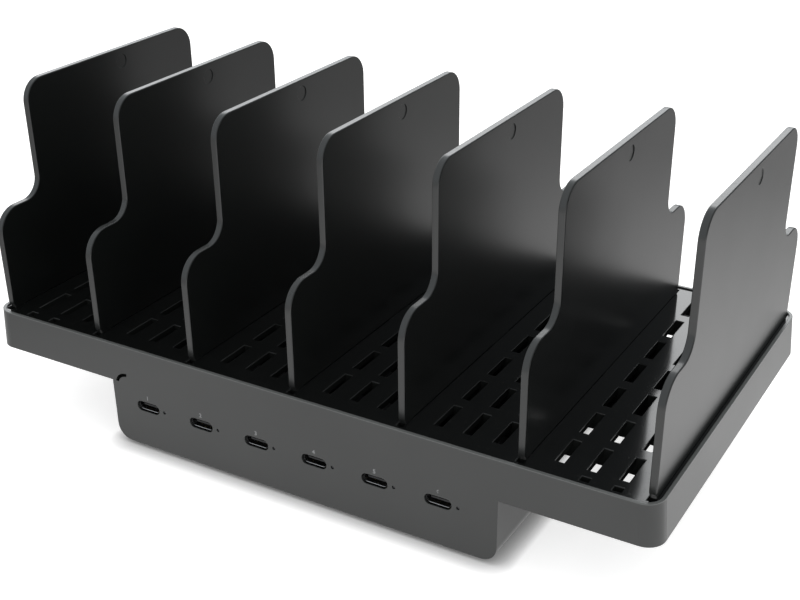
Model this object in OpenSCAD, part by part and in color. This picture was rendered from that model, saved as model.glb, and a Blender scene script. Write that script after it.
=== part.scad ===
// Desktop USB charging station: a slotted tray with seven lift-out dividers on a low power housing.
// Origin: middle of the footprint, on the surface that the feet stand on. +X runs to the right along the
// front, +Y to the back, +Z up. All sizes are millimetres.

/* [Tray] */
// Distance between two rows of deck slots, side to side
row_pitch = 10; // [9:0.5:11]
// Width of one deck slot
slot_w = 3; // [2:0.1:3.4]
// Length of one deck slot, front to back
slot_len = 13.2; // [12.5:0.1:15]
// Deck left between two slots of a row
slot_bridge = 4.5; // [4:0.1:6]
// Deck in front of the first slot and behind the last one
slot_margin = 8.8; // [8.6:0.1:12]
// Outermost divider's middle to the tray's side
side_margin = 3.5; // [3.4:0.1:8]
// Height of the tray's outer skirt
skirt_h = 14.2; // [13:0.1:20]
// How far the skirt's sides and back lean out at their lower edge
skirt_flare = 1.2; // [0.6:0.1:2]
// Thickness of the skirt
skirt_t = 2; // [1.6:0.1:2]
// Radius of the tray's upright corners
corner_r = 6; // [4:0.5:9]
// Thickness of the slotted deck
deck_t = 2.2; // [1.8:0.1:2.8]
// Height of the lip round the deck
lip_h = 0.5; // [0.3:0.1:1]
// Thickness of the lip round the deck
lip_t = 1.1; // [0.8:0.1:1.6]
// Depth of the cross ribs under the deck
rib_depth = 4.1; // [3:0.1:5]
// Thickness of the cross ribs
rib_t = 2; // [1.2:0.1:2.4]
// Front of the tray to the first small locating notch
notch_inset = 2.8; // [2.6:0.1:3]
// Length of a spare locating notch
notch_len = 2.7; // [2:0.1:2.8]

/* [Dividers] */
// Thickness of a divider
divider_t = 2.4; // [2:0.1:2.8]
// Height of a divider above the deck
divider_h = 76.8; // [65:1:95]
// Front of the tray to a divider's lower edge
divider_inset = 4.1; // [4:0.1:4.6]
// Width of a divider above its shoulders, front to back
divider_top_w = 88; // [84:1:92]
// Height of the shoulders above the deck
shoulder_h = 36.2; // [30:0.5:42]
// Radius of the hollow corner above a shoulder
shoulder_in_r = 7; // [5:0.5:8]
// Radius of the rounded corner of a shoulder
shoulder_out_r = 9; // [7:0.5:9.5]
// Radius of the two top corners
top_r = 8; // [5:0.5:12]
// Radius of the two foot corners
foot_corner_r = 2.3; // [1.5:0.1:3]
// Depth of the tabs below the top of the deck
tab_h = 5; // [4:0.1:6]
// Divider's lower edge to its end tabs
tab_inset = 0.9; // [0.5:0.1:2]
// Length of the two end tabs
end_tab_len = 4; // [3:0.1:5]
// Clearance round a tab in its slot
tab_clear = 0.1; // [0.08:0.01:0.3]
// Diameter of the round moulding mark near the top
mark_d = 5.3; // [4:0.1:7]
// Depth of the moulding mark
mark_depth = 0.25; // [0.15:0.05:0.5]
// Top edge to the middle of the moulding mark
mark_drop = 4.8; // [4.5:0.1:9]
// Moulding mark's place behind the divider's middle
mark_back = 4; // [0:0.5:10]

/* [Housing] */
// Height of the housing under the tray
body_h = 22.7; // [22:0.1:28]
// Depth of the wide front bar of the housing
bar_d = 42; // [41:0.5:43]
// Shift of the front bar from the tray's middle, to the right
bar_shift = 1.6; // [-1:0.1:2]
// Tray's back to the housing's back
rear_gap = 11; // [10:0.5:14]
// Wall thickness of the housing
wall = 1.6; // [1.4:0.1:1.6]
// Radius of the housing's lower edges, seen from the front
body_r = 5.5; // [4:0.1:6]
// Radius of the housing's upright back corners
back_r = 4; // [3:0.5:6]
// Cover screw's middle to the side of the housing's rear part
cover_edge = 10; // [9.5:0.5:11]
// Thickness of the bottom cover
cover_t = 2; // [1.8:0.1:2.4]
// Gap round the bottom cover
cover_gap = 0.15; // [0.1:0.05:0.3]
// Thickness of the inner lid over the electronics
lid_t = 1.6; // [1.2:0.1:2]
// Bottom edge of the tray to the top of the inner lid
lid_rise = 3.2; // [3:0.1:5]
// Gap round the inner lid
lid_gap = 0.3; // [0.2:0.05:0.5]
// Radius of a rubber foot
foot_r = 5.5; // [4:0.1:7]
// Height of a rubber foot
foot_h = 1.5; // [1:0.1:3]
// Width of a cooling slit in the back wall
vent_w = 1.6; // [1:0.1:2]
// Height of a cooling slit
vent_h = 10; // [6:0.5:12]
// Distance between two cooling slits
vent_pitch = 3.6; // [3:0.1:4]

/* [Ports] */
// Distance between two charging ports
port_pitch = 22.4; // [21.5:0.1:23]
// Outermost port's middle to the front bar's side, on average
port_margin = 17.4; // [17:0.1:20]
// Shift of the row of ports from the front bar's middle, to the right
port_shift = -2.7; // [-3:0.1:0]
// Bottom of the housing to the middle of the ports
port_rise = 15.7; // [15:0.1:16]
// Clearance round a port in the front wall
port_clear = 0.28; // [0.1:0.02:0.4]
// Distance from a port to its indicator
indicator_offset = 6.9; // [6.6:0.1:7.4]
// Diameter of an indicator lens
lens_d = 1.1; // [0.8:0.1:1.6]
// Clearance round an indicator lens
lens_clear = 0.05; // [0.03:0.01:0.1]

/* [Hidden] */
$fn = 64;

// Counts
divider_count = 7;
rows_per_bay = 4;
slots_per_row = 7;
port_count = 6;
vents_each_side = 8;
spare_rows = 2;

// Overrun of every cut
cut = 1;

// How far a corner column stays inside the walls that it joins
corner_ease = 0.02;

// Tray, worked out from its pattern of slots
slot_step = slot_len + slot_bridge;
divider_pitch = rows_per_bay * row_pitch;
outer_row = (divider_count - 1) * rows_per_bay / 2;
tray_w = (divider_count - 1) * divider_pitch + 2 * side_margin;
tray_d = slots_per_row * slot_len + (slots_per_row - 1) * slot_bridge + 2 * slot_margin;
overall_d = tray_d + skirt_flare;
skirt_lean = atan(skirt_flare / skirt_h);
tray_z = foot_h + body_h;
rim_z = tray_z + skirt_h;
deck_z = rim_z - lip_h;
deck_under_z = deck_z - deck_t;
front_rib_y = notch_inset + notch_len;
middle_slot = (slots_per_row - 1) / 2;
end_slot_len = divider_inset + tab_inset + end_tab_len + tab_clear - notch_inset;

// Dividers
divider_w = tray_d - 2 * divider_inset;
divider_slot_w = divider_t + 2 * tab_clear;

// Housing
body_w = (port_count - 1) * port_pitch + 2 * port_margin;
bar_left = bar_shift - body_w / 2;
screw_row = outer_row / 2 - 1 / 2;
screw_x = screw_row * row_pitch;
rear_w = 2 * (screw_x + cover_edge);
body_d = tray_d - rear_gap;
cover_z = foot_h;
cover_top_z = cover_z + cover_t;
lid_top_z = tray_z + lid_rise;
lid_z = lid_top_z - lid_t;

// Screw pillars under the deck and their self-tapping screws
pillar_r = 3;
pillar_front_y = 34;
pillar_back_gap = 8;
pillar_back_y = body_d - pillar_back_gap;
pillar_ys = [pillar_front_y, (pillar_front_y + pillar_back_y) / 2, pillar_back_y];
screw_r = 1.4;
screw_clear = 0.05;
screw_hole_clear = 0.3;
cover_screw_len = 9;
cover_head_r = 2.7;
cover_head_h = 0.8;
head_recess = 0.2;
drive_w = 0.8;
drive_share = 0.6;
lid_row = screw_row - 1;
lid_screw_x = lid_row * row_pitch;
lid_screw_front_y = 36;
lid_screw_back_gap = 18;
lid_screw_ys = [lid_screw_front_y, body_d - lid_screw_back_gap];
lid_screw_len = 7;
pan_head_r = 2.2;
pan_head_h = 1.5;

// Rubber feet
foot_front_inset = 15;
foot_front_y = 9;
foot_back_inset = 21;
foot_back_gap = 14;

// Charging ports: shell and insert of a USB-C receptacle
usb_w = 8.94;
usb_h = 3.26;
usb_wall = 0.3;
usb_len = 7.35;
usb_recess = 0.7;
insert_back = 2.2;
tongue_w = 6.6;
tongue_t = 0.7;
tongue_recess = 0.9;
port_z = foot_h + port_rise;
first_port_x = bar_shift + port_shift - (port_count - 1) * port_pitch / 2;
panel_gap_w = 1.2;
panel_gap_r = 5.2;
panel_gap_rise = 3.8;
panel_gap_inset = 1.2;

// Port board and what it carries
pcb_t = 1.6;
port_board_inset = 7.2;
port_board_d = 23.4;
port_board_gap = 0.6;
port_board_top_z = port_z - usb_h / 2;
port_board_z = port_board_top_z - pcb_t;
port_board_w = body_w - 2 * port_board_inset;
port_board_y = skirt_t + port_board_gap;
post_r = 2.5;
post_front_y = 6;
post_back_inset = 3;
board_screw_r = 1.1;
board_screw_len = 4.6;
led_w = 2;
led_d = 1.2;
led_h = 2.6;
lens_recess = 0.3;
lens_len = 4;
controller_w = 4;
controller_t = 0.9;
controller_gap = 1.6;
inductor_w = 6;
inductor_h = 3;
inductor_coil_r = 2.4;
inductor_coil_h = 0.4;
inductor_gap = 1;
connector_w = 10;
connector_d = 6;
connector_h = 6;
lead_count = 4;
lead_r = 0.8;
lead_pitch = 2.2;
lead_bend_r = 3;

// Power board and what it carries
power_board_gap = 5;
power_board_side_gap = 16;
power_board_w = rear_w - 2 * power_board_side_gap;
power_board_y = bar_d + power_board_gap;
power_board_back_gap = 3.4;
power_board_d = body_d - wall - power_board_back_gap - power_board_y;
board_post_h = 3;
power_board_z = cover_top_z + board_post_h;
power_top_z = power_board_z + pcb_t;
power_post_r = 3;
power_post_inset = 4.5;
sheet_t = 0.4;
sheet_hole_clear = 0.3;
core_w = 32;
core_d = 14;
core_h = 16;
core_leg = 5;
core_mid_leg = 9;
core_plate_t = 3.4;
coil_clear = 0.2;
coil_t = 4.8;
transformer_share = [0.5, 0.42];
bulk_r = 8;
bulk_len = 32;
bulk_groove = 0.5;
bulk_groove_at = 5;
bulk_share = [0.17, 0.34];
can_r = 4;
can_h = 14;
can_pitch = 10;
can_count = 3;
can_groove_share = 0.15;
cans_share = [0.64, 0.16];
sink_len = 30;
sink_t = 2;
sink_h = 15;
fin_count = 5;
fin_depth = 2.2;
fin_t = 1.2;
secondary_share = [0.09, 0.12];
primary_share = [0.97, 0.3];
transistor_w = 10;
transistor_t = 4.4;
transistor_h = 13;
rectifier_w = 15;
rectifier_t = 4;
rectifier_h = 11;
rectifier_share = [0.68, 0.7];
choke_r = 6;
choke_tube_r = 3;
choke_share = [0.775, 0.48];
line_cap_w = 18;
line_cap_t = 7;
line_cap_h = 13;
line_cap_share = [0.66, 0.83];
fuse_r = 2.6;
fuse_len = 20;
fuse_cap_len = 5;
fuse_cap_t = 0.3;
fuse_clip_w = 4;
fuse_lift = 0.6;
fuse_share = [0.12, 0.88];

// Mains inlet, a two-pin socket for a figure-eight plug
inlet_w = 20;
inlet_d = 16;
inlet_h = 13;
inlet_clear = 0.2;
socket_w = 15.2;
socket_h = 8.6;
socket_depth = 11;
pin_r = 1.2;
pin_pitch = 8.6;
pin_recess = 1.5;
pin_tail = 1.6;

function row_x(k) = k * row_pitch;
function slot_y(j) = slot_margin + j * slot_step;
function port_x(i) = first_port_x + i * port_pitch;
function is_divider_row(k) = k % rows_per_bay == 0;
// Middle of the free space between a port's indicator and the next port
function port_post_x(i) = port_x(i) + (indicator_offset + port_pitch - usb_w / 2) / 2;
function power_at(share) = [
    (share[0] - 1 / 2) * power_board_w,
    power_board_y + share[1] * power_board_d,
    power_top_z
];

// How far the skirt stands out at height z
function flare_at(z) = skirt_flare * (rim_z - z) / skirt_h;

// Moves a piece from the middle of the footprint to the front face of the tray
module at_front() translate([0, -overall_d / 2, 0]) children();

// Extrudes an outline drawn in X and Z from y0 back to y1
module along_y(y0, y1) translate([0, y1, 0]) rotate([90, 0, 0]) linear_extrude(y1 - y0) children();

// Extrudes an outline drawn in Y and Z from x0 to x1
module along_x(x0, x1) translate([x0, 0, 0]) rotate([90, 0, 90]) linear_extrude(x1 - x0) children();

// A block with its middle at x and its front at y
module block(x, y, z, size) translate([x - size[0] / 2, y, z]) cube(size);

module rounded_rect(w, d, r) {
    square([w - 2 * r, d], center = true);
    square([w, d - 2 * r], center = true);
    for (sx = [-1, 1], sy = [-1, 1]) translate([sx * (w / 2 - r), sy * (d / 2 - r)]) circle(r);
}

module stadium(w, h) {
    square([w - h, h], center = true);
    for (s = [-1, 1]) translate([s * (w - h) / 2, 0]) circle(h / 2);
}

// Upper shell: deck, skirt and housing walls in one moulding

module tray_outline(inset) {
    translate([0, tray_d / 2]) rounded_rect(tray_w - 2 * inset, tray_d - 2 * inset, corner_r - inset);
}

// A block whose sides, or whose back, lean out as the skirt does
module sloped_block(half, y0, y1, lean_sides, lean_back, z0, z1) {
    side0 = half + lean_sides * flare_at(z0);
    side1 = half + lean_sides * flare_at(z1);
    back0 = y1 + lean_back * flare_at(z0);
    back1 = y1 + lean_back * flare_at(z1);
    intersection() {
        along_y(y0, back0) polygon([[-side0, z0], [side0, z0], [side1, z1], [-side1, z1]]);
        along_x(-side0, side0) polygon([[y0, z0], [back0, z0], [back1, z1], [y0, z1]]);
    }
}

// A corner column whose radius, r at the rim, grows downwards as the skirt leans out
module corner_cone(side, y, r, z0, z1) {
    top_r = r - corner_ease;
    translate([side * (tray_w / 2 - corner_r), y, z0])
        cylinder(r1 = top_r + flare_at(z0), r2 = top_r + flare_at(z1), h = z1 - z0);
}

// The tray's outer form: an upright front, leaning sides and back, and rounded corners
module tray_block() {
    front_x = tray_w / 2 - corner_r / cos(skirt_lean);
    sloped_block(tray_w / 2, corner_r, tray_d - corner_r, 1, 0, tray_z, rim_z);
    sloped_block(tray_w / 2 - corner_r, 0, tray_d, 0, 1, tray_z, rim_z);
    sloped_block(front_x, 0, corner_r, 1, 0, tray_z, rim_z);
    for (s = [-1, 1]) {
        intersection() {
            translate([s * front_x, corner_r, rim_z]) rotate([0, -s * skirt_lean, 0])
                translate([0, 0, -2 * skirt_h]) cylinder(r = corner_r - corner_ease, h = 3 * skirt_h);
            translate([0, corner_r, tray_z]) linear_extrude(skirt_h)
                square([2 * tray_w, 2 * corner_r], center = true);
        }
        corner_cone(s, tray_d - corner_r, corner_r, tray_z, rim_z);
    }
}

// The hollow under the deck, whose sides and back lean as the skirt does
module tray_hollow() {
    z0 = tray_z - cut;
    height = deck_under_z - z0;
    sloped_block(tray_w / 2 - skirt_t, corner_r, tray_d - corner_r, 1, 0, z0, deck_under_z);
    sloped_block(tray_w / 2 - corner_r, skirt_t, tray_d - skirt_t, 0, 1, z0, deck_under_z);
    intersection() {
        for (s = [-1, 1], y = [corner_r, tray_d - corner_r])
            corner_cone(s, y, corner_r - skirt_t, z0, deck_under_z);
        translate([-tray_w, skirt_t, z0]) cube([2 * tray_w, tray_d, height]);
    }
}

module tray_form() {
    difference() {
        tray_block();
        translate([0, 0, deck_z]) linear_extrude(lip_h + cut) tray_outline(lip_t);
        tray_hollow();
    }
}

// Housing seen from the front: straight sides and two rounded lower corners
module housing_front(w, r, z0, z1) {
    translate([-w / 2, z0 + r]) square([w, z1 - z0 - r]);
    translate([-w / 2 + r, z0]) square([w - 2 * r, r]);
    for (s = [-1, 1]) translate([s * (w / 2 - r), z0 + r]) circle(r);
}

module housing_plan(inset) {
    for (part = [[bar_shift, body_w, bar_d], [0, rear_w, body_d]]) {
        long = part[2] + back_r;
        translate([part[0], part[2] - inset - long / 2])
            rounded_rect(part[1] - 2 * inset, long, back_r - inset);
    }
}

module housing_form(inset, front, top_z) {
    intersection() {
        union() {
            translate([bar_shift, 0, 0]) along_y(front, bar_d - inset)
                housing_front(body_w - 2 * inset, body_r - inset, foot_h + inset, top_z);
            along_y(bar_d / 2, body_d - inset)
                housing_front(rear_w - 2 * inset, body_r - inset, foot_h + inset, top_z);
        }
        linear_extrude(rim_z) housing_plan(inset);
    }
}

module cover_outline(gap) {
    bar_half = body_w / 2 - body_r - gap;
    rear_half = rear_w / 2 - body_r - gap;
    translate([bar_shift - bar_half, skirt_t + gap])
        square([2 * bar_half, bar_d - wall - skirt_t - 2 * gap]);
    translate([-rear_half, skirt_t + gap]) square([2 * rear_half, body_d - wall - skirt_t - 2 * gap]);
}

module ribs() {
    ys = concat([front_rib_y], [for (j = [0:slots_per_row - 1]) slot_y(j) + slot_len]);
    for (y = ys)
        block(0, y, deck_under_z - rib_depth, [tray_w - skirt_t, rib_t, rib_depth + deck_t / 2]);
}

module pillars() {
    top_z = deck_z - deck_t / 2;
    for (s = [-1, 1]) {
        for (y = pillar_ys)
            translate([s * screw_x, y, cover_top_z]) cylinder(r = pillar_r, h = top_z - cover_top_z);
        for (y = lid_screw_ys)
            translate([s * lid_screw_x, y, lid_top_z]) cylinder(r = pillar_r, h = top_z - lid_top_z);
    }
}

module pillar_bores() {
    for (s = [-1, 1]) {
        for (y = pillar_ys)
            translate([s * screw_x, y, cover_top_z - cut])
                cylinder(r = screw_r + screw_clear, h = cover_screw_len + cut);
        for (y = lid_screw_ys)
            translate([s * lid_screw_x, y, lid_top_z - cut])
                cylinder(r = screw_r + screw_clear, h = lid_screw_len + cut);
    }
}

module deck_slots() {
    for (k = [-outer_row:outer_row]) {
        if (is_divider_row(k)) {
            for (y = [notch_inset, tray_d - notch_inset - end_slot_len])
                block(row_x(k), y, deck_under_z - rib_depth - cut,
                    [divider_slot_w, end_slot_len, deck_t + rib_depth + 2 * cut]);
            block(row_x(k), slot_y(middle_slot), deck_under_z - cut,
                [divider_slot_w, slot_len, deck_t + 2 * cut]);
        } else {
            for (j = [0:slots_per_row - 1])
                block(row_x(k), slot_y(j), deck_under_z - cut, [slot_w, slot_len, deck_t + 2 * cut]);
        }
    }
    for (s = [-1, 1], n = [1:spare_rows], y = [notch_inset, tray_d - notch_inset - notch_len])
        block(row_x(s * (outer_row - n)), y, deck_under_z - cut, [slot_w, notch_len, deck_t + 2 * cut]);
}

module port_holes() {
    for (i = [0:port_count - 1]) {
        along_y(-cut, skirt_t + cut) translate([port_x(i), port_z])
            stadium(usb_w + 2 * port_clear, usb_h + 2 * port_clear);
        along_y(-cut, skirt_t + cut) translate([port_x(i) + indicator_offset, port_z])
            circle(lens_d / 2 + lens_clear);
    }
}

// Curved gap where the front panel's top left corner meets the skirt
module panel_gap() {
    side = panel_gap_r + cut;
    along_y(-cut, skirt_t + cut)
        translate([bar_left + panel_gap_inset + panel_gap_r, tray_z + panel_gap_rise - panel_gap_r])
            intersection() {
                difference() {
                    circle(panel_gap_r);
                    circle(panel_gap_r - panel_gap_w);
                }
                translate([-side, panel_gap_r - panel_gap_rise]) square([side, side]);
            }
}

module back_vents() {
    start = inlet_w / 2 + vent_pitch;
    for (s = [-1, 1], n = [1:vents_each_side])
        block(s * (start + n * vent_pitch), body_d - wall - cut, port_z - vent_h / 2,
            [vent_w, wall + 2 * cut, vent_h]);
}

module inlet_hole() {
    block(0, body_d - wall - cut, power_top_z - inlet_clear,
        [inlet_w + 2 * inlet_clear, wall + 2 * cut, inlet_h + 2 * inlet_clear]);
}

module upper_shell() {
    color("#2b2c2e") at_front() difference() {
        union() {
            difference() {
                union() {
                    tray_form();
                    housing_form(0, 0, deck_z - deck_t / 2);
                }
                housing_form(wall, skirt_t, deck_under_z);
                translate([0, 0, foot_h - cut]) linear_extrude(cut + cover_t + body_r) cover_outline(0);
            }
            ribs();
            pillars();
        }
        pillar_bores();
        deck_slots();
        port_holes();
        panel_gap();
        back_vents();
        inlet_hole();
    }
}

// Covers, feet and screws

module inner_lid() {
    color("#232426") at_front() translate([0, 0, lid_z]) linear_extrude(lid_t) difference() {
        intersection() {
            housing_plan(wall + lid_gap);
            translate([bar_left, skirt_t + lid_gap]) square([body_w, body_d]);
        }
        for (s = [-1, 1]) {
            for (y = pillar_ys) translate([s * screw_x, y]) circle(pillar_r + screw_hole_clear);
            for (y = lid_screw_ys) translate([s * lid_screw_x, y]) circle(screw_r + screw_hole_clear);
        }
    }
}

// Places of the posts under each board
post_back_x = port_board_w / 2 - post_back_inset;
post_back_y = port_board_y + port_board_d - post_back_inset;
power_post_x = power_board_w / 2 - power_post_inset;
port_posts = concat(
    [for (i = [0, port_count - 2]) [port_post_x(i), post_front_y]],
    [for (s = [-1, 1]) [bar_shift + s * post_back_x, post_back_y]]
);
power_posts = [for (s = [-1, 1], y = [power_post_inset, power_board_d - power_post_inset])
    [s * power_post_x, power_board_y + y]];

// Every board screw's middle, with the top of its board as its height
board_screw_places = concat(
    [for (p = port_posts) [p[0], p[1], port_board_top_z]],
    [for (p = power_posts) [p[0], p[1], power_top_z]]
);

module cover_posts() {
    for (p = port_posts) translate([p[0], p[1], cover_z]) cylinder(r = post_r, h = port_board_z - cover_z);
    for (p = power_posts)
        translate([p[0], p[1], cover_z]) cylinder(r = power_post_r, h = power_board_z - cover_z);
}

module bottom_cover() {
    color("#242527") at_front() difference() {
        union() {
            translate([0, 0, cover_z]) linear_extrude(cover_t) cover_outline(cover_gap);
            cover_posts();
        }
        for (s = [-1, 1], y = pillar_ys) translate([s * screw_x, y, cover_z - cut]) {
            cylinder(r = screw_r + screw_hole_clear, h = cover_t + 2 * cut);
            cylinder(r = cover_head_r + screw_hole_clear, h = cut + head_recess + cover_head_h);
        }
        for (p = board_screw_places) translate([p[0], p[1], p[2] - board_screw_len - screw_clear])
            cylinder(r = board_screw_r + screw_clear, h = board_screw_len);
    }
}

module rubber_feet() {
    front_x = body_w / 2 - foot_front_inset;
    back_x = rear_w / 2 - foot_back_inset;
    color("#161617") at_front() for (s = [-1, 1]) {
        translate([bar_shift + s * front_x, foot_front_y, 0]) cylinder(r = foot_r, h = foot_h);
        translate([s * back_x, body_d - foot_back_gap, 0]) cylinder(r = foot_r, h = foot_h);
    }
}

// Screw with a round head, its shank up and its head below z = 0
module head_down_screw(head_r, head_h, len) {
    difference() {
        union() {
            translate([0, 0, -head_h]) cylinder(r = head_r, h = head_h);
            cylinder(r = screw_r, h = len);
        }
        for (a = [0, 90]) rotate(a) translate([-head_r * drive_share, -drive_w / 2, -head_h - cut])
            cube([2 * head_r * drive_share, drive_w, cut + head_h / 2]);
    }
}

module cover_screws() {
    color("silver") at_front() for (s = [-1, 1], y = pillar_ys)
        translate([s * screw_x, y, cover_z + head_recess + cover_head_h])
            head_down_screw(cover_head_r, cover_head_h, cover_screw_len);
}

module lid_screws() {
    color("silver") at_front() for (s = [-1, 1], y = lid_screw_ys)
        translate([s * lid_screw_x, y, lid_z]) head_down_screw(pan_head_r, pan_head_h, lid_screw_len);
}

module board_screws() {
    color("silver") at_front() for (p = board_screw_places) translate(p) difference() {
        union() {
            cylinder(r = pan_head_r, h = pan_head_h);
            translate([0, 0, -board_screw_len]) cylinder(r = board_screw_r, h = board_screw_len);
        }
        for (a = [0, 90]) rotate(a)
            translate([-pan_head_r * drive_share, -drive_w / 2, pan_head_h / 2])
                cube([2 * pan_head_r * drive_share, drive_w, pan_head_h]);
    }
}

// Dividers: a plate with stepped shoulders, three tabs below and a moulding mark near the top

module divider_outline() {
    half = divider_w / 2;
    top_half = divider_top_w / 2;
    difference() {
        union() {
            // Lower part, with rounded shoulders and foot corners
            translate([-half + shoulder_out_r, 0]) square([2 * (half - shoulder_out_r), shoulder_h]);
            translate([-half, foot_corner_r])
                square([2 * half, shoulder_h - shoulder_out_r - foot_corner_r]);
            for (s = [-1, 1]) {
                translate([s * (half - shoulder_out_r), shoulder_h - shoulder_out_r])
                    circle(shoulder_out_r);
                translate([s * (half - foot_corner_r), foot_corner_r]) circle(foot_corner_r);
            }
            translate([-half + foot_corner_r, 0]) square([2 * (half - foot_corner_r), foot_corner_r]);
            // Upper part, with rounded top corners and the fill of the hollow corners
            translate([-top_half, shoulder_h - top_r]) square([2 * top_half, divider_h - shoulder_h]);
            translate([-top_half + top_r, divider_h - top_r]) square([2 * (top_half - top_r), top_r]);
            for (s = [-1, 1]) translate([s * (top_half - top_r), divider_h - top_r]) circle(top_r);
            translate([-top_half - shoulder_in_r, shoulder_h - shoulder_in_r])
                square([2 * (top_half + shoulder_in_r), 2 * shoulder_in_r]);
        }
        for (s = [-1, 1])
            translate([s * (top_half + shoulder_in_r), shoulder_h + shoulder_in_r]) circle(shoulder_in_r);
    }
}

module tabs_outline() {
    end_middle = divider_w / 2 - tab_inset - end_tab_len / 2;
    mid_len = slot_len - 2 * tab_clear;
    translate([-mid_len / 2, -tab_h]) square([mid_len, tab_h + foot_corner_r]);
    for (s = [-1, 1]) translate([s * end_middle - end_tab_len / 2, -tab_h])
        square([end_tab_len, tab_h + foot_corner_r]);
}

module divider(n) {
    x = ((n - 1) - (divider_count - 1) / 2) * divider_pitch;
    color("#2f3032") at_front() translate([x, tray_d / 2, deck_z]) difference() {
        translate([-divider_t / 2, 0, 0]) rotate([90, 0, 90]) linear_extrude(divider_t) {
            divider_outline();
            tabs_outline();
        }
        translate([divider_t / 2 - mark_depth, mark_back, divider_h - mark_drop]) rotate([0, 90, 0])
            cylinder(d = mark_d, h = mark_depth + cut);
    }
}

module divider_1() divider(1);
module divider_2() divider(2);
module divider_3() divider(3);
module divider_4() divider(4);
module divider_5() divider(5);
module divider_6() divider(6);
module divider_7() divider(7);

// Port board

module port_board() {
    color("#1f5a34") at_front() difference() {
        block(bar_shift, port_board_y, port_board_z, [port_board_w, port_board_d, pcb_t]);
        for (p = board_screw_places) translate([p[0], p[1], port_board_z - cut])
            cylinder(r = board_screw_r + screw_clear, h = pcb_t + 2 * cut);
    }
}

module usb_c_shells() {
    color("silver") at_front() for (i = [0:port_count - 1])
        along_y(usb_recess, usb_recess + usb_len) translate([port_x(i), port_z]) difference() {
            stadium(usb_w, usb_h);
            stadium(usb_w - 2 * usb_wall, usb_h - 2 * usb_wall);
        }
}

module usb_c_inserts() {
    back = usb_recess + usb_len;
    color("#101011") at_front() for (i = [0:port_count - 1]) translate([port_x(i), 0, port_z]) {
        along_y(back - insert_back, back) stadium(usb_w - 2 * usb_wall, usb_h - 2 * usb_wall);
        block(0, usb_recess + tongue_recess, -tongue_t / 2,
            [tongue_w, usb_len - tongue_recess - insert_back / 2, tongue_t]);
    }
}

module indicator_lenses() {
    color("#d8dde0") at_front() for (i = [0:port_count - 1])
        along_y(lens_recess, lens_recess + lens_len) translate([port_x(i) + indicator_offset, port_z])
            circle(d = lens_d);
}

module indicator_leds() {
    color("#e9e7d8") at_front() for (i = [0:port_count - 1])
        block(port_x(i) + indicator_offset, lens_recess + lens_len, port_board_top_z,
            [led_w, led_d, led_h]);
}

controller_y = usb_recess + usb_len + controller_gap;
inductor_y = controller_y + controller_w + inductor_gap;

module port_controllers() {
    color("#1a1b1c") at_front() for (i = [0:port_count - 1])
        block(port_x(i), controller_y, port_board_top_z, [controller_w, controller_w, controller_t]);
}

module port_inductors() {
    color("#4a4c50") at_front() for (i = [0:port_count - 1]) {
        block(port_x(i), inductor_y, port_board_top_z, [inductor_w, inductor_w, inductor_h]);
        translate([port_x(i), inductor_y + inductor_w / 2, port_board_top_z + inductor_h])
            cylinder(r = inductor_coil_r, h = inductor_coil_h);
    }
}

port_connector_y = port_board_y + port_board_d - connector_d;

module port_connector() {
    color("#ece8dc") at_front()
        block(0, port_connector_y, port_board_top_z, [connector_w, connector_d, connector_h]);
}

// Leads from the port connector's back, over to the power connector's top
module supply_leads() {
    start_y = port_board_y + port_board_d;
    end_y = power_board_y + connector_d / 2;
    lead_z = port_board_top_z + connector_h / 2;
    end_z = power_top_z + connector_h;
    color("#a02020") at_front() for (n = [0:lead_count - 1])
        translate([(n - (lead_count - 1) / 2) * lead_pitch, 0, 0]) {
            translate([0, start_y, lead_z]) rotate([-90, 0, 0])
                cylinder(r = lead_r, h = end_y - lead_bend_r - start_y);
            translate([0, end_y - lead_bend_r, lead_z - lead_bend_r]) rotate([90, 0, 90])
                rotate_extrude(angle = 90) translate([lead_bend_r, 0]) circle(lead_r);
            translate([0, end_y, end_z]) cylinder(r = lead_r, h = lead_z - lead_bend_r - end_z);
        }
}

// Power board

module power_board() {
    color("#2a6b3c") at_front() difference() {
        block(0, power_board_y, power_board_z, [power_board_w, power_board_d, pcb_t]);
        for (p = board_screw_places) translate([p[0], p[1], power_board_z - cut])
            cylinder(r = board_screw_r + screw_clear, h = pcb_t + 2 * cut);
    }
}

module insulation_sheet() {
    color("#d9d2b0") at_front() translate([0, 0, cover_top_z]) difference() {
        block(0, power_board_y, 0, [power_board_w, power_board_d, sheet_t]);
        for (p = board_screw_places) translate([p[0], p[1], -cut])
            cylinder(r = power_post_r + sheet_hole_clear, h = sheet_t + 2 * cut);
    }
}

module transformer_core() {
    window = (core_w - 2 * core_leg - core_mid_leg) / 2;
    color("#3b3d40") at_front() translate(power_at(transformer_share)) difference() {
        block(0, -core_d / 2, 0, [core_w, core_d, core_h]);
        for (s = [-1, 1])
            block(s * (core_mid_leg + window) / 2, -core_d / 2 - cut, core_plate_t,
                [window, core_d + 2 * cut, core_h - 2 * core_plate_t]);
    }
}

module transformer_winding() {
    height = core_h - 2 * core_plate_t;
    color("#d7b23c") at_front() translate(power_at(transformer_share)) translate([0, 0, core_plate_t])
        linear_extrude(height) difference() {
            rounded_rect(core_mid_leg + 2 * coil_t, core_d + 2 * coil_t, coil_t / 2);
            square([core_mid_leg + coil_clear, core_d + coil_clear], center = true);
        }
}

module bulk_capacitor() {
    color("#20262e") at_front() translate(power_at(bulk_share))
        translate([0, 0, bulk_r]) rotate([-90, 0, 0]) rotate_extrude() difference() {
            square([bulk_r, bulk_len]);
            translate([bulk_r, bulk_groove_at]) circle(bulk_groove);
        }
}

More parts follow.
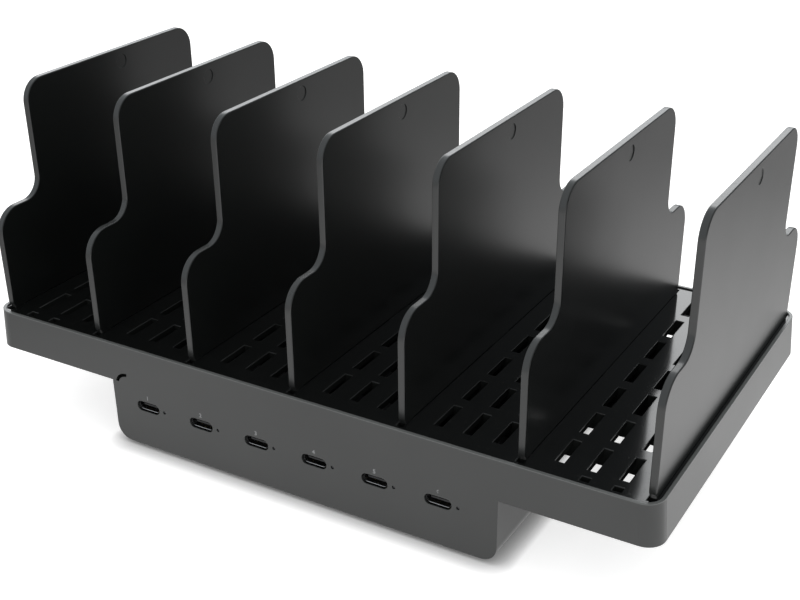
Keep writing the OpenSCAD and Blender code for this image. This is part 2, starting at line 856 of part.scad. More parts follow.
module output_capacitors() {
    color("#2a3038") at_front() translate(power_at(cans_share)) for (n = [0:can_count - 1])
        translate([n * can_pitch, 0, 0]) rotate_extrude() difference() {
            square([can_r, can_h]);
            translate([can_r, can_h * can_groove_share]) circle(bulk_groove);
        }
}

// A finned plate standing on the board, its flat side towards -Y
module heatsink() {
    cube([sink_len, sink_t, sink_h]);
    for (n = [0:fin_count - 1])
        translate([n * (sink_len - fin_t) / (fin_count - 1), sink_t, 0]) cube([fin_t, fin_depth, sink_h]);
}

module secondary_heatsink() {
    color("#b9bcc0") at_front() translate(power_at(secondary_share)) heatsink();
}

module primary_heatsink() {
    color("#b9bcc0") at_front() translate(power_at(primary_share))
        translate([-fin_depth - sink_t, sink_len, 0]) rotate(-90) heatsink();
}

module power_transistors() {
    size = [transistor_w, transistor_t, transistor_h];
    color("#17181a") at_front() {
        translate(power_at(secondary_share))
            translate([(sink_len - transistor_w) / 2, -transistor_t, 0]) cube(size);
        translate(power_at(primary_share))
            translate([-fin_depth - sink_t - transistor_t, (sink_len - transistor_w) / 2, 0])
                cube([transistor_t, transistor_w, transistor_h]);
    }
}

module bridge_rectifier() {
    color("#1c1d1f") at_front() translate(power_at(rectifier_share))
        cube([rectifier_w, rectifier_t, rectifier_h]);
}

module emi_choke() {
    color("#b5651d") at_front() translate(power_at(choke_share)) translate([0, 0, choke_tube_r])
        rotate_extrude() translate([choke_r, 0]) circle(choke_tube_r);
}

module line_capacitor() {
    color("#e0a82e") at_front() translate(power_at(line_cap_share))
        cube([line_cap_w, line_cap_t, line_cap_h]);
}

// A cartridge fuse in two clips
module fuse() {
    color("#dfe3e6") at_front() translate(power_at(fuse_share)) {
        translate([0, 0, fuse_r + fuse_lift]) rotate([0, 90, 0]) {
            cylinder(r = fuse_r - fuse_cap_t, h = fuse_len);
            for (x = [0, fuse_len - fuse_cap_len]) translate([0, 0, x])
                cylinder(r = fuse_r, h = fuse_cap_len);
        }
        for (x = [0, fuse_len - fuse_cap_len])
            block(x + fuse_cap_len / 2, -fuse_clip_w / 2, 0,
                [fuse_clip_w, fuse_clip_w, fuse_r / 2 + fuse_lift]);
    }
}

module power_connector() {
    color("#ece8dc") at_front()
        block(0, power_board_y, power_top_z, [connector_w, connector_d, connector_h]);
}

// Mains inlet

inlet_z = power_top_z + inlet_h / 2;

module ac_inlet() {
    color("#17181a") at_front() difference() {
        block(0, body_d - inlet_d, power_top_z, [inlet_w, inlet_d, inlet_h]);
        along_y(body_d - socket_depth, body_d + cut) translate([0, inlet_z]) stadium(socket_w, socket_h);
        for (s = [-1, 1])
            along_y(body_d - inlet_d - cut, body_d) translate([s * pin_pitch / 2, inlet_z]) circle(pin_r);
    }
}

module inlet_pins() {
    tail_y = body_d - inlet_d - pin_tail;
    color("silver") at_front() for (s = [-1, 1]) {
        along_y(tail_y, body_d - pin_recess) translate([s * pin_pitch / 2, inlet_z]) circle(pin_r);
        block(s * pin_pitch / 2, tail_y, power_top_z, [2 * pin_r, pin_tail, inlet_h / 2]);
    }
}

upper_shell();
inner_lid();
bottom_cover();
rubber_feet();
cover_screws();
lid_screws();
divider_1();
divider_2();
divider_3();
divider_4();
divider_5();
divider_6();
divider_7();
port_board();
usb_c_shells();
usb_c_inserts();
indicator_lenses();
indicator_leds();
port_controllers();
port_inductors();
port_connector();
power_board();
board_screws();
insulation_sheet();
transformer_core();
transformer_winding();
bulk_capacitor();
output_capacitors();
secondary_heatsink();
primary_heatsink();
power_transistors();
bridge_rectifier();
emi_choke();
line_capacitor();
fuse();
power_connector();
supply_leads();
ac_inlet();
inlet_pins();
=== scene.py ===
import math
import bmesh
import bpy
import numpy as np
from mathutils import Matrix, Vector


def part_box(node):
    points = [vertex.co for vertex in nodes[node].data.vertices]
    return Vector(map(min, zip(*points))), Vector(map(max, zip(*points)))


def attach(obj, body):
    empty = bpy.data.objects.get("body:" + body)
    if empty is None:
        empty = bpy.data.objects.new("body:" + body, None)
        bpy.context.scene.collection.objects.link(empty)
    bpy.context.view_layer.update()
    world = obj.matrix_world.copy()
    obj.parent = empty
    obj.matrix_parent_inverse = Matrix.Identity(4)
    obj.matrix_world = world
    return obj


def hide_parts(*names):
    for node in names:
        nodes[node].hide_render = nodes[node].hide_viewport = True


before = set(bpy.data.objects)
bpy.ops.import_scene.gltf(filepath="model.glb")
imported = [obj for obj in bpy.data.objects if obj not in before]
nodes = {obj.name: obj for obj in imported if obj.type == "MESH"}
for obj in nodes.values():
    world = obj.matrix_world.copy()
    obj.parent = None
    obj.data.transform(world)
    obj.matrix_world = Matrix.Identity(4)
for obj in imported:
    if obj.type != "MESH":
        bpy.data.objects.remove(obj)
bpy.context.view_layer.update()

MM = 0.001

# ---- Camera -------------------------------------------------------------------------------------------------
# The photograph's viewing angle: from the front right, a little above, with a long lens whose picture is moved
# a little to the right and down.
CAMERA_PLACE = (0.2115055, -0.353291, 0.2451893)
CAMERA_TURN, CAMERA_TILT, CAMERA_ROLL = 29.1639, 28.1628, 0.1332

lens = bpy.data.cameras.new("camera")
lens.sensor_width, lens.lens = 36.0, 58.7016
lens.shift_x, lens.shift_y = -0.040423, 0.054012
lens.clip_start, lens.clip_end = 0.01, 30.0
camera = bpy.data.objects.new("camera", lens)
camera.matrix_world = (Matrix.Translation(CAMERA_PLACE) @ Matrix.Rotation(math.radians(CAMERA_TURN), 4, "Z")
                       @ Matrix.Rotation(math.radians(90 - CAMERA_TILT), 4, "X")
                       @ Matrix.Rotation(math.radians(CAMERA_ROLL), 4, "Z"))
bpy.context.scene.collection.objects.link(camera)
bpy.context.scene.camera = camera
bpy.context.scene.view_settings.view_transform = "Standard"


# ---- Table, backdrop and lamps ------------------------------------------------------------------------------
# A white sheet of card that runs on to the horizon, under four soft boxes, as in a product photograph on white.
# Camera and gloss see the card white, with its shadow, partly painted. Of the boxes, gloss shows only the one behind.
class Value:
    """A number inside a finish. Each sum, product or power written on it adds the Math node that works it out."""

    def __init__(self, finish, socket):
        self.finish, self.socket = finish, socket

    def math(self, operation, *inputs):
        return self.finish.node("ShaderNodeMath", {"operation": operation}, dict(enumerate(inputs)))

    def __add__(self, other): return self.math("ADD", self, other)
    def __radd__(self, other): return self.math("ADD", other, self)
    def __sub__(self, other): return self.math("SUBTRACT", self, other)
    def __rsub__(self, other): return self.math("SUBTRACT", other, self)
    def __mul__(self, other): return self.math("MULTIPLY", self, other)
    def __rmul__(self, other): return self.math("MULTIPLY", other, self)
    def __truediv__(self, other): return self.math("DIVIDE", self, other)
    def __pow__(self, other): return self.math("POWER", self, other)
    def __gt__(self, other): return self.math("GREATER_THAN", self, other)
    def __lt__(self, other): return self.math("LESS_THAN", self, other)
    def __mod__(self, other): return self.math("FLOORED_MODULO", self, other)
    def __abs__(self): return self.math("ABSOLUTE", self)


class Finish:
    """One procedural material. node() adds a node of any kind and gives back one of its outputs as a Value."""

    def __init__(self, name):
        self.material = bpy.data.materials.new(name)
        self.material.use_nodes = True
        self.tree = self.material.node_tree
        self.tree.nodes.clear()

    def node(self, kind, settings=None, inputs=None, out=0):
        """Adds a node: its settings first (a ramp's are its stops), then each input's number or link."""
        made = self.tree.nodes.new(kind)
        for key, value in (settings or {}).items():
            if key == "stops":
                stops = made.color_ramp.elements
                while len(stops) < len(value):
                    stops.new(1.0)
                for stop, (place, shade) in zip(stops, value):
                    stop.position, stop.color = place, (*([shade] * 3), 1) if np.isscalar(shade) else (*shade, 1)
            else:
                setattr(made, key, value)
        for key, value in (inputs or {}).items():
            if isinstance(value, Value):
                self.tree.links.new(value.socket, made.inputs[key])
            else:
                made.inputs[key].default_value = (*value, 1) if np.ndim(value) == 1 and len(value) == 3 \
                    and made.inputs[key].type == "RGBA" else value
        return Value(self, made.outputs[out] if made.outputs else None)

    def place(self):
        """Where a point lies on the object, in metres, with no turn or scale."""
        return self.node("ShaderNodeTexCoord", out="Object")

    def parts(self, vector):
        """The three numbers of a vector."""
        split = self.node("ShaderNodeSeparateXYZ", inputs={0: vector})
        return [Value(self, split.socket.node.outputs[i]) for i in range(3)]

    def mottle(self, size, detail=2.0, rough=0.5, stretch=(1, 1, 1)):
        """Cloudy noise from 0 to 1 whose blotches are about size metres across."""
        spread = self.node("ShaderNodeMapping", inputs={"Vector": self.place(), "Scale": stretch})
        return self.node("ShaderNodeTexNoise", inputs={"Vector": spread, "Scale": 1 / size, "Detail": detail,
                                                       "Roughness": rough})

    def spread(self, value, low, high, to_low=0.0, to_high=1.0):
        """Stretches low..high of a value to to_low..to_high, and holds it there outside."""
        return self.node("ShaderNodeMapRange", {"clamp": True}, {0: value, 1: low, 2: high, 3: to_low, 4: to_high})

    def blend(self, share, first, second):
        """The first colour where share is 0, the second where it is 1."""
        return self.node("ShaderNodeMix", {"data_type": "RGBA"}, {0: share, 6: first, 7: second}, out=2)

    def worn_edge(self, radius):
        """1 on an edge that stands proud or is hollow, 0 on a flat face: how far a rounded normal turns there."""
        rounded = self.node("ShaderNodeBevel", {"samples": 4}, {"Radius": radius})
        plain = self.node("ShaderNodeNewGeometry", out="Normal")
        match = self.node("ShaderNodeVectorMath", {"operation": "DOT_PRODUCT"}, {0: rounded, 1: plain}, out=1)
        return self.spread(match, 1.0, 0.75)

    def bump(self, height, depth, normal=None):
        """A fine relief: height from 0 to 1 over depth metres."""
        links = {"Height": height, "Distance": depth, "Strength": 1.0}
        if normal is not None:
            links["Normal"] = normal
        return self.node("ShaderNodeBump", inputs=links)

    def surface(self, matt=None, **inputs):
        """The Principled shader, with its sockets by name (spaces written as _), joined to the output. Where matt is
        given as (share, colour), that share of it is a plain matt colour."""
        names = {key.replace("_", " "): value for key, value in inputs.items()}
        shader = self.node("ShaderNodeBsdfPrincipled", inputs=names)
        if matt:
            flat = self.node("ShaderNodeBsdfDiffuse", inputs={"Color": matt[1]})
            shader = self.node("ShaderNodeMixShader", inputs={0: matt[0], 1: shader, 2: flat})
        self.node("ShaderNodeOutputMaterial", inputs={"Surface": shader})
        return self


# Card: its own matt white, lit by the lamps, and so much more of it for camera, gloss and glass that bare card is
# white. That share goes away where the object nearly touches the card, which paints a contact shadow there. In gloss
# the card's glow is painted darker behind the object and to its left: painted shade in its reflections.
CARD_COLOUR, CARD_LIFT, CARD_GLOSS_FRONT, CARD_GLOSS_BACK, CARD_GLOSS_LEFT = 0.75, 0.66, 0.48, -0.33, -0.55
CONTACT_REACH = 0.007
card = Finish("white_card")
rays = card.node("ShaderNodeLightPath")
seen = [Value(card, rays.socket.node.outputs[name]) for name in
        ("Is Camera Ray", "Is Glossy Ray", "Is Transmission Ray")]
card_x, card_y = card.parts(card.place())[:2]
# Painted shade in reflections: what gloss sees of the card's glow falls off behind the object and to its left.
painted_reflection_lift = card.spread(card_y, 0.04, 0.30, CARD_GLOSS_FRONT, CARD_GLOSS_BACK) \
    + card.spread(card_x, -0.09, -0.20, 0.0, CARD_GLOSS_LEFT)
# Painted contact shadow: the glow fades where the object comes within CONTACT_REACH of the card.
contact_shade_paint = card.node("ShaderNodeAmbientOcclusion", {"samples": 16}, {"Distance": CONTACT_REACH}, out=1) ** 3
sight = seen[0] * contact_shade_paint * CARD_LIFT + seen[1] * (1 - seen[0]) * painted_reflection_lift \
    + seen[2] * (1 - seen[0]) * CARD_LIFT
grain = card.mottle(0.004, 3.0)
matt = card.node("ShaderNodeBsdfDiffuse", inputs={"Color": (CARD_COLOUR,) * 3,
                                                  "Normal": card.bump(grain, 0.00001)})
glow = card.node("ShaderNodeEmission", inputs={"Color": (1, 1, 1), "Strength": sight})
both = card.node("ShaderNodeAddShader", inputs={0: matt, 1: glow})
card.node("ShaderNodeOutputMaterial", inputs={"Surface": both})

CARD_HALF = 12.0
card_mesh = bpy.data.meshes.new("white_card")
card_mesh.from_pydata([(-CARD_HALF, -CARD_HALF, 0), (CARD_HALF, -CARD_HALF, 0), (CARD_HALF, CARD_HALF, 0),
                       (-CARD_HALF, CARD_HALF, 0)], [], [(0, 1, 2, 3)])
card_mesh.materials.append(card.material)
table = bpy.data.objects.new("white_card", card_mesh)
bpy.context.scene.collection.objects.link(table)

# World: white to camera and glass, dimmer as a light. Gloss alone sees a painted reflection, faintly blue: bright on
# the left and dimmer to the right.
SKY_LIGHT, SKY_GLOSS_LEFT, SKY_GLOSS_RIGHT = 0.75, 1.0, 0.35
sky = bpy.data.worlds.new("white_room")
bpy.context.scene.world = sky
sky.use_nodes = True
sky.node_tree.nodes.clear()
room = Finish.__new__(Finish)
room.tree = sky.node_tree
paths = room.node("ShaderNodeLightPath")
open_to = [Value(room, paths.socket.node.outputs[name]) for name in
           ("Is Camera Ray", "Is Glossy Ray", "Is Transmission Ray")]
plain = open_to[0].math("MAXIMUM", open_to[0], open_to[2])
glossy = open_to[1] * (1 - plain)
sideways = room.parts(room.node("ShaderNodeTexCoord", out="Generated"))[0]
# Painted reflection: what gloss sees of the sky dims from left to right.
painted_sky_reflection = room.spread(sideways, -0.2, 0.25, SKY_GLOSS_LEFT, SKY_GLOSS_RIGHT)
strength = SKY_LIGHT + plain * (1.0 - SKY_LIGHT) + glossy * (painted_sky_reflection - SKY_LIGHT)
air = room.node("ShaderNodeBackground", inputs={"Color": room.blend(glossy, (1, 1, 1), (0.90, 0.96, 1.0)),
                                                "Strength": strength})
room.node("ShaderNodeOutputWorld", inputs={"Surface": air})

# Soft boxes: (name, place, point it faces, width, height, watts, seen in gloss). The one behind on the left gives the
# upper edges and the deck their sheen.
for name, place, aim, width, height, watts, in_gloss in (
        ("soft_box", (0.35, 0.25, 1.3), (0, 0, 0.05), 1.0, 1.0, 5.0, False),
        ("back_box", (-1.04, 1.95, 1.17), (0, 0, 0.05), 2.3, 0.9, 17.0, True),
        ("side_box", (1.3, -0.45, 0.35), (0, 0, 0.03), 0.8, 0.4, 4.0, False),
        ("front_box", (0.6, -1.4, 0.35), (0, 0, 0.03), 1.2, 0.5, 5.0, False)):
    box = bpy.data.lights.new(name, "AREA")
    box.shape, box.size, box.size_y, box.energy = "RECTANGLE", width, height, watts
    lamp = bpy.data.objects.new(name, box)
    lamp.matrix_world = Matrix.Translation(place) @ \
        (Vector(aim) - Vector(place)).to_track_quat("-Z", "Y").to_matrix().to_4x4()
    lamp.visible_glossy, lamp.visible_camera = in_gloss, False
    bpy.context.scene.collection.objects.link(lamp)

# ---- Upper shell --------------------------------------------------------------------------------------------
# One injection moulding in black ABS, semi-gloss from a polished tool: deck, skirt, ribs and housing walls. Its
# edges are rounded by a few tenths of a millimetre, as the tool leaves them.
# Painted shade: the deck's black is darker than the walls' black.
WALL_BLACK, DECK_SHADED_BLACK = (0.0285, 0.0300, 0.0295), (0.0036, 0.0041, 0.0040)
# Painted shade: the matt, deepest black of the slots' insides and the tabs under the deck.
PAINTED_SHADE_BLACK, DUST_GREY = (0.0105, 0.0115, 0.0110), (0.30, 0.29, 0.27)
# Painted highlight: the rim's lip above LIP_LOW is made LIP_HIGHLIGHT_GAIN times paler than the rim.
SHELL_EDGE, SHELL_RUB, LIP_LOW, LIP_HIGHLIGHT_GAIN = 0.0003, 0.2, 0.0381, 4.0
DECK_SLOTS = (0.0312, 0.0377, 0.1205, 0.0655)


def moulded_black(name, rim, face, across, dull, shine, deep_in, rub, round_r=None, lip_low=None):
    """Gloss black ABS. The broad faces, which look along the axis across, are painted a deeper black than walls and
    rims as shade, with the gloss shine in place of dull. Both have faint clouds where hands touched them, a slow
    ripple from the tool, fine dust on what faces up, and edges that are rubbed brighter by rub. The lip over lip_low
    is painted paler as a highlight. What lies inside the box deep_in, from low to high and by half its width and
    depth,
    is painted shade: matt and deepest black."""
    f = Finish(name)
    clouds, specks, swell = f.mottle(0.03, 2.0), f.mottle(0.0009, 2.0), f.mottle(0.006, 0.0)
    facing = f.parts(f.node("ShaderNodeNewGeometry", out="Normal"))
    edge = f.worn_edge(0.0005)
    dust = f.spread(facing[2], 0.5, 1.0) * f.spread(specks, 0.62, 0.8)
    x, y, z = f.parts(f.place())
    broad = f.spread(abs(facing[across]), 0.55, 0.95)
    if lip_low:
        broad = broad * (z < lip_low)
    # Painted shade: the broad faces take the darker black.
    base = f.blend(broad, rim, face)
    if lip_low:
        # Painted highlight on the lip above lip_low.
        base = f.blend(z > lip_low, base, tuple(c * LIP_HIGHLIGHT_GAIN for c in rim))
    base = f.blend(clouds * 0.35, base, tuple(c * 0.5 for c in face))
    base = f.blend(edge * rub, base, tuple(c * 2.0 for c in rim))
    base = f.blend(dust * 0.06, base, DUST_GREY)
    rough = dull + broad * (shine - dull) + clouds * 0.04 - edge * 0.02 + dust * 0.12
    low, high, half_x, half_y = deep_in
    # Painted shade: inside the box the surface is mixed to a matt, deepest black.
    inside = f.spread(z, high, high - 0.0002) * (z > low) * (abs(x) < half_x) * (abs(y) < half_y)
    soft = f.node("ShaderNodeBevel", {"samples": 6}, {"Radius": round_r}) if round_r else None
    return f.surface((inside, PAINTED_SHADE_BLACK), Base_Color=base, Roughness=rough, IOR=1.54,
                     Normal=f.bump(swell, 0.000004, soft))


def dress(piece, finish, body="base", stands_for=()):
    """Gives a new piece its finish, its body and the CAD nodes that it stands for."""
    piece.data.materials.clear()
    piece.data.materials.append(finish.material)
    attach(piece, body)
    if stands_for:
        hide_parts(*stands_for)


def coat(node, finish):
    """Gives a CAD node that stays a finish, in each of its material slots."""
    for place in nodes[node].material_slots:
        place.material = finish.material
    if not nodes[node].material_slots:
        nodes[node].data.materials.append(finish.material)


coat("upper_shell", moulded_black("shell_black", WALL_BLACK, DECK_SHADED_BLACK, 2, 0.27, 0.08, DECK_SLOTS, SHELL_RUB,
                                  SHELL_EDGE, LIP_LOW))

# ---- Dividers -----------------------------------------------------------------------------------------------
# Seven identical plates in the same black ABS, 2.4 mm thick, that stand in the deck by three tabs. Their long
# edges are rounded all round, and the right face has the round mark of an ejector pin near its top.
PLATE_T, PLATE_EDGE, PITCH = 2.4, 0.42, 40.0
FOOT_HALF, TOP_HALF, SHOULDER, TOP = 64.4, 44.0, 36.2, 76.8
TAB_DEPTH, TAB_R, MID_TAB, END_TAB, END_TAB_LEN = 5.0, 0.6, 6.5, 61.5, 4.0
FOOT_R, SHOULDER_R, HOLLOW_R, TOP_R = 2.3, 9.0, 7.0, 8.0
DECK_Z, TRAY_MIDDLE_Y = 37.9, -0.6
MARK_Y, MARK_DROP, MARK_R, MARK_DEPTH = 4.0, 4.8, 2.65, 0.25


def joined_arcs(arcs):
    """The closed outline that runs through a list of arcs (y, z, radius, start and end in degrees), with a
    straight line from the end of each to the start of the next."""
    runs = []
    for y, z, r, a, b in arcs:
        turn = np.radians(np.linspace(a, b, max(3, int(abs(b - a) / 90 * (5 + r) + 1.5))))
        runs.append(np.column_stack([y + r * np.cos(turn), z + r * np.sin(turn)]))
    return np.concatenate(runs)


def outward(line):
    """At each point of a closed outline, the direction out of it, as long as keeps an offset's width at corners."""
    ahead = np.roll(line, -1, 0) - line
    ahead /= np.linalg.norm(ahead, axis=1)[:, None]
    behind = np.roll(ahead, 1, 0)
    total = np.column_stack([ahead[:, 1] + behind[:, 1], -ahead[:, 0] - behind[:, 0]])
    return total / (1 + (ahead * behind).sum(1))[:, None]


def ring_faces(rings, count):
    """Quads between each ring of count points and the next one, and round again to the ring's first point."""
    i, j = np.meshgrid(np.arange(rings - 1), np.arange(count), indexing="ij")
    k = (j + 1) % count
    return np.stack([i * count + j, i * count + k, (i + 1) * count + k, (i + 1) * count + j], -1).reshape(-1, 4)


def plate_mesh(name, middle_x):
    """A plate: its outline, drawn in and moved by r (1 - cos t) and r (1 - sin t), is the quarter round of each
    edge. The left and right face fill the inner outlines, and the right one goes round the pin mark."""
    half = [(MID_TAB - TAB_R, -TAB_DEPTH + TAB_R, TAB_R, -90, 0), (MID_TAB + 0.3, -0.3, 0.3, 180, 90),
            (END_TAB - END_TAB_LEN / 2 - 0.3, -0.3, 0.3, 90, 0),
            (END_TAB - END_TAB_LEN / 2 + TAB_R, -TAB_DEPTH + TAB_R, TAB_R, 180, 270),
            (END_TAB + END_TAB_LEN / 2 - TAB_R, -TAB_DEPTH + TAB_R, TAB_R, 270, 360),
            (FOOT_HALF - FOOT_R, FOOT_R, FOOT_R,
             -math.degrees(math.acos((END_TAB + END_TAB_LEN / 2 - FOOT_HALF + FOOT_R) / FOOT_R)), 0),
            (FOOT_HALF - SHOULDER_R, SHOULDER - SHOULDER_R, SHOULDER_R, 0, 90),
            (TOP_HALF + HOLLOW_R, SHOULDER + HOLLOW_R, HOLLOW_R, 270, 180),
            (TOP_HALF - TOP_R, TOP - TOP_R, TOP_R, 0, 90)]
    other = [(-y, z, r, 180 - b, 180 - a) for y, z, r, a, b in reversed(half)]
    line = joined_arcs(half + other)
    out = outward(line)
    turn = np.linspace(0, np.pi / 2, 5)
    inset = np.concatenate([PLATE_EDGE * (1 - np.sin(turn)), PLATE_EDGE * (1 - np.cos(turn))])
    depth = PLATE_T / 2 - np.concatenate([PLATE_EDGE * (1 - np.cos(turn)), PLATE_T - PLATE_EDGE * (1 - np.sin(turn))])
    lean_out = np.concatenate([np.sin(turn), np.cos(turn)])
    lean_x = np.concatenate([np.cos(turn), -np.sin(turn)])
    flat = line[None] - inset[:, None, None] * out[None]
    unit = out / np.linalg.norm(out, axis=1)[:, None]
    points = np.concatenate([np.broadcast_to(depth[:, None, None], flat.shape[:2] + (1,)), flat], 2).reshape(-1, 3)
    normals = np.concatenate([np.broadcast_to(lean_x[:, None, None], flat.shape[:2] + (1,)),
                              lean_out[:, None, None] * unit[None]], 2).reshape(-1, 3)
    count, rings = len(line), len(depth)
    faces = ring_faces(rings, count)[:, ::-1]

    # The pin mark: rings of a shallow dish, from its rim in the right face to a point on its axis
    around = np.linspace(0, 2 * np.pi, 48, endpoint=False)
    dish_r = np.array([MARK_R, MARK_R - 0.05, MARK_R - 0.1, MARK_R - 0.2])
    dish_x = PLATE_T / 2 - np.array([0, 0.02, MARK_DEPTH - 0.05, MARK_DEPTH])
    dish_n = np.array([[1, 0], [0.7, -0.7], [0.7, -0.7], [1, 0]])
    dish = np.stack([np.broadcast_to(dish_x[:, None], (4, 48)), MARK_Y + dish_r[:, None] * np.cos(around),
                     TOP - MARK_DROP + dish_r[:, None] * np.sin(around)], -1).reshape(-1, 3)
    dish_normals = np.stack([np.broadcast_to(dish_n[:, :1], (4, 48)), dish_n[:, 1:] * np.cos(around),
                             dish_n[:, 1:] * np.sin(around)], -1).reshape(-1, 3)
    start = len(points)
    dish_faces = ring_faces(4, 48) + start
    points = np.concatenate([points, dish]) + [middle_x, TRAY_MIDDLE_Y, DECK_Z]
    normals = np.concatenate([normals, dish_normals])

    work = bmesh.new()
    verts = [work.verts.new(p) for p in points * MM]
    for face in np.concatenate([faces, dish_faces]):
        work.faces.new([verts[i] for i in face])
    work.faces.new([verts[i] for i in range(start + 3 * 48, start + 4 * 48)])
    work.faces.new([verts[i] for i in range((rings - 1) * count, rings * count)][::-1])
    work.edges.ensure_lookup_table()
    rim = [work.edges.get((verts[a + i], verts[a + (i + 1) % n])) for a, n in ((0, count), (start, 48)) for i in
           range(n)]
    filled = bmesh.ops.triangle_fill(work, edges=rim, use_beauty=True, use_dissolve=False, normal=(1, 0, 0))
    for item in filled["geom"]:
        if isinstance(item, bmesh.types.BMFace) and item.normal.x < 0:
            item.normal_flip()
    for face in work.faces:
        face.smooth = True
    mesh = bpy.data.meshes.new(name)
    work.to_mesh(mesh)
    work.free()
    mesh.normals_split_custom_set_from_vertices((normals / np.linalg.norm(normals, axis=1)[:, None]).tolist())
    return mesh


# Painted shade: the plates' broad faces are a darker black than their rims.
RIM_BLACK, PLATE_SHADED_BLACK = (0.0190, 0.0202, 0.0198), (0.0036, 0.0042, 0.0040)
# Painted shade: inside this box the tabs under the deck are a matt, deepest black.
TABS, PLATE_RUB = (0.0300, 0.0379, 0.1300, 0.0700), 0.35
divider_black = moulded_black("divider_black", RIM_BLACK, PLATE_SHADED_BLACK, 0, 0.26, 0.29, TABS, PLATE_RUB)
for n in range(1, 8):
    piece = bpy.data.objects.new("divider_plate_%d" % n, plate_mesh("divider_plate_%d" % n, (n - 4) * PITCH))
    bpy.context.scene.collection.objects.link(piece)
    dress(piece, divider_black, "divider_%d_body" % n, ["divider_%d" % n])

# ---- Printed numbers ----------------------------------------------------------------------------------------
# A plain number above each port, pad-printed on the front in light grey ink: a film of ink some hundredths of a
# millimetre thick, a little uneven where the pad lifted off.
FRONT_Y, PORT_Z, FIRST_PORT_X, PORT_PITCH, PORTS = -69.1, 17.2, -57.1, 22.4, 6
NUMBER_H, NUMBER_RISE, INK_T, INK_BOLD = 2.1, 2.9, 0.02, 0.05
port_xs = FIRST_PORT_X + PORT_PITCH * np.arange(PORTS)


def printed_ink(name):
    """Light grey ink, with a fine grain and thin places where the black shows through."""
    f = Finish(name)
    thin = f.spread(f.mottle(0.0004, 2.0), 0.62, 0.8)
    return f.surface(Base_Color=f.blend(thin * 0.4, (0.24, 0.245, 0.25), (0.08, 0.08, 0.08)),
                     Roughness=0.5 + thin * 0.1, IOR=1.5, Normal=f.bump(f.mottle(0.0002, 1.0), 0.000004))


ink_work = bmesh.new()
for n, x in enumerate(port_xs):
    figure = bpy.data.curves.new("figure", "FONT")
    figure.body, figure.size, figure.align_x, figure.extrude = str(n + 1), NUMBER_H * MM, "CENTER", INK_T * MM / 2
    figure.offset = INK_BOLD * MM
    drawn = bpy.data.objects.new("figure", figure)
    bpy.context.scene.collection.objects.link(drawn)
    flat = bpy.data.meshes.new_from_object(drawn.evaluated_get(bpy.context.evaluated_depsgraph_get()))
    flat.transform(Matrix.Translation((x * MM, (FRONT_Y - INK_T / 2) * MM, (PORT_Z + NUMBER_RISE) * MM))
                   @ Matrix.Rotation(math.radians(90), 4, "X"))
    ink_work.from_mesh(flat)
    bpy.data.objects.remove(drawn)
bmesh.ops.remove_doubles(ink_work, verts=ink_work.verts, dist=0.0000005)
bmesh.ops.recalc_face_normals(ink_work, faces=ink_work.faces)
ink_mesh = bpy.data.meshes.new("port_numbers")
ink_work.to_mesh(ink_mesh)
ink_work.free()
numbers = bpy.data.objects.new("port_numbers", ink_mesh)
bpy.context.scene.collection.objects.link(numbers)
dress(numbers, printed_ink("light_grey_ink"))

# ---- USB-C receptacles --------------------------------------------------------------------------------------
# Six standard receptacles: a shell drawn from stainless strip with a rolled lip and small spring dimples, round a
# black glass-filled nylon tongue with twelve gilt contacts above and twelve below. Soldered to the port board.
SHELL_W, SHELL_H, SHELL_T, SHELL_FRONT, SHELL_BACK = 8.94, 3.26, 0.3, -68.4, -61.05
TONGUE_W, TONGUE_T, TONGUE_FRONT, ROOT_FRONT, TONGUE_BACK = 6.6, 0.7, -67.5, -64.6, -62.2
BASE_FRONT = -63.25
CONTACT_W, CONTACT_FRONT, CONTACT_BACK, CONTACT_PITCH, CONTACTS = 0.25, -66.75, -65.0, 0.5, 12
DIMPLE_X, DIMPLE_Y, DIMPLE_R, DIMPLE_DEPTH, LIP_BRIGHT_UNDER, LIP_FADE = 1.9, 2.2, 0.5, 0.16, 1.4, 0.2
CREASE = math.radians(40)


def round_rect(w, h, r, y, steps=6):
    """A ring at depth y: a rectangle w by h whose corners are arcs of radius r, as corner centre + r (cos, sin)."""
    turn = np.radians(np.arange(4)[:, None] * 90 + np.linspace(0, 90, steps)[None]).ravel()
    side = np.repeat([[1, 1], [-1, 1], [-1, -1], [1, -1]], steps, 0)
    x = side[:, 0] * (w / 2 - r) + r * np.cos(turn)
    z = side[:, 1] * (h / 2 - r) + r * np.sin(turn)
    return np.column_stack([x, np.full_like(x, y), z])


def turned(profile, steps=32):
    """Rings of a body of revolution round the Y axis: each (y, r) of the profile gives (r cos t, y, r sin t)."""
    turn = np.linspace(0, 2 * np.pi, steps, endpoint=False)
    y, r = np.array(profile, float).T
    return np.stack([r[:, None] * np.cos(turn), np.broadcast_to(y[:, None], (len(y), steps)),
                     r[:, None] * np.sin(turn)], -1)


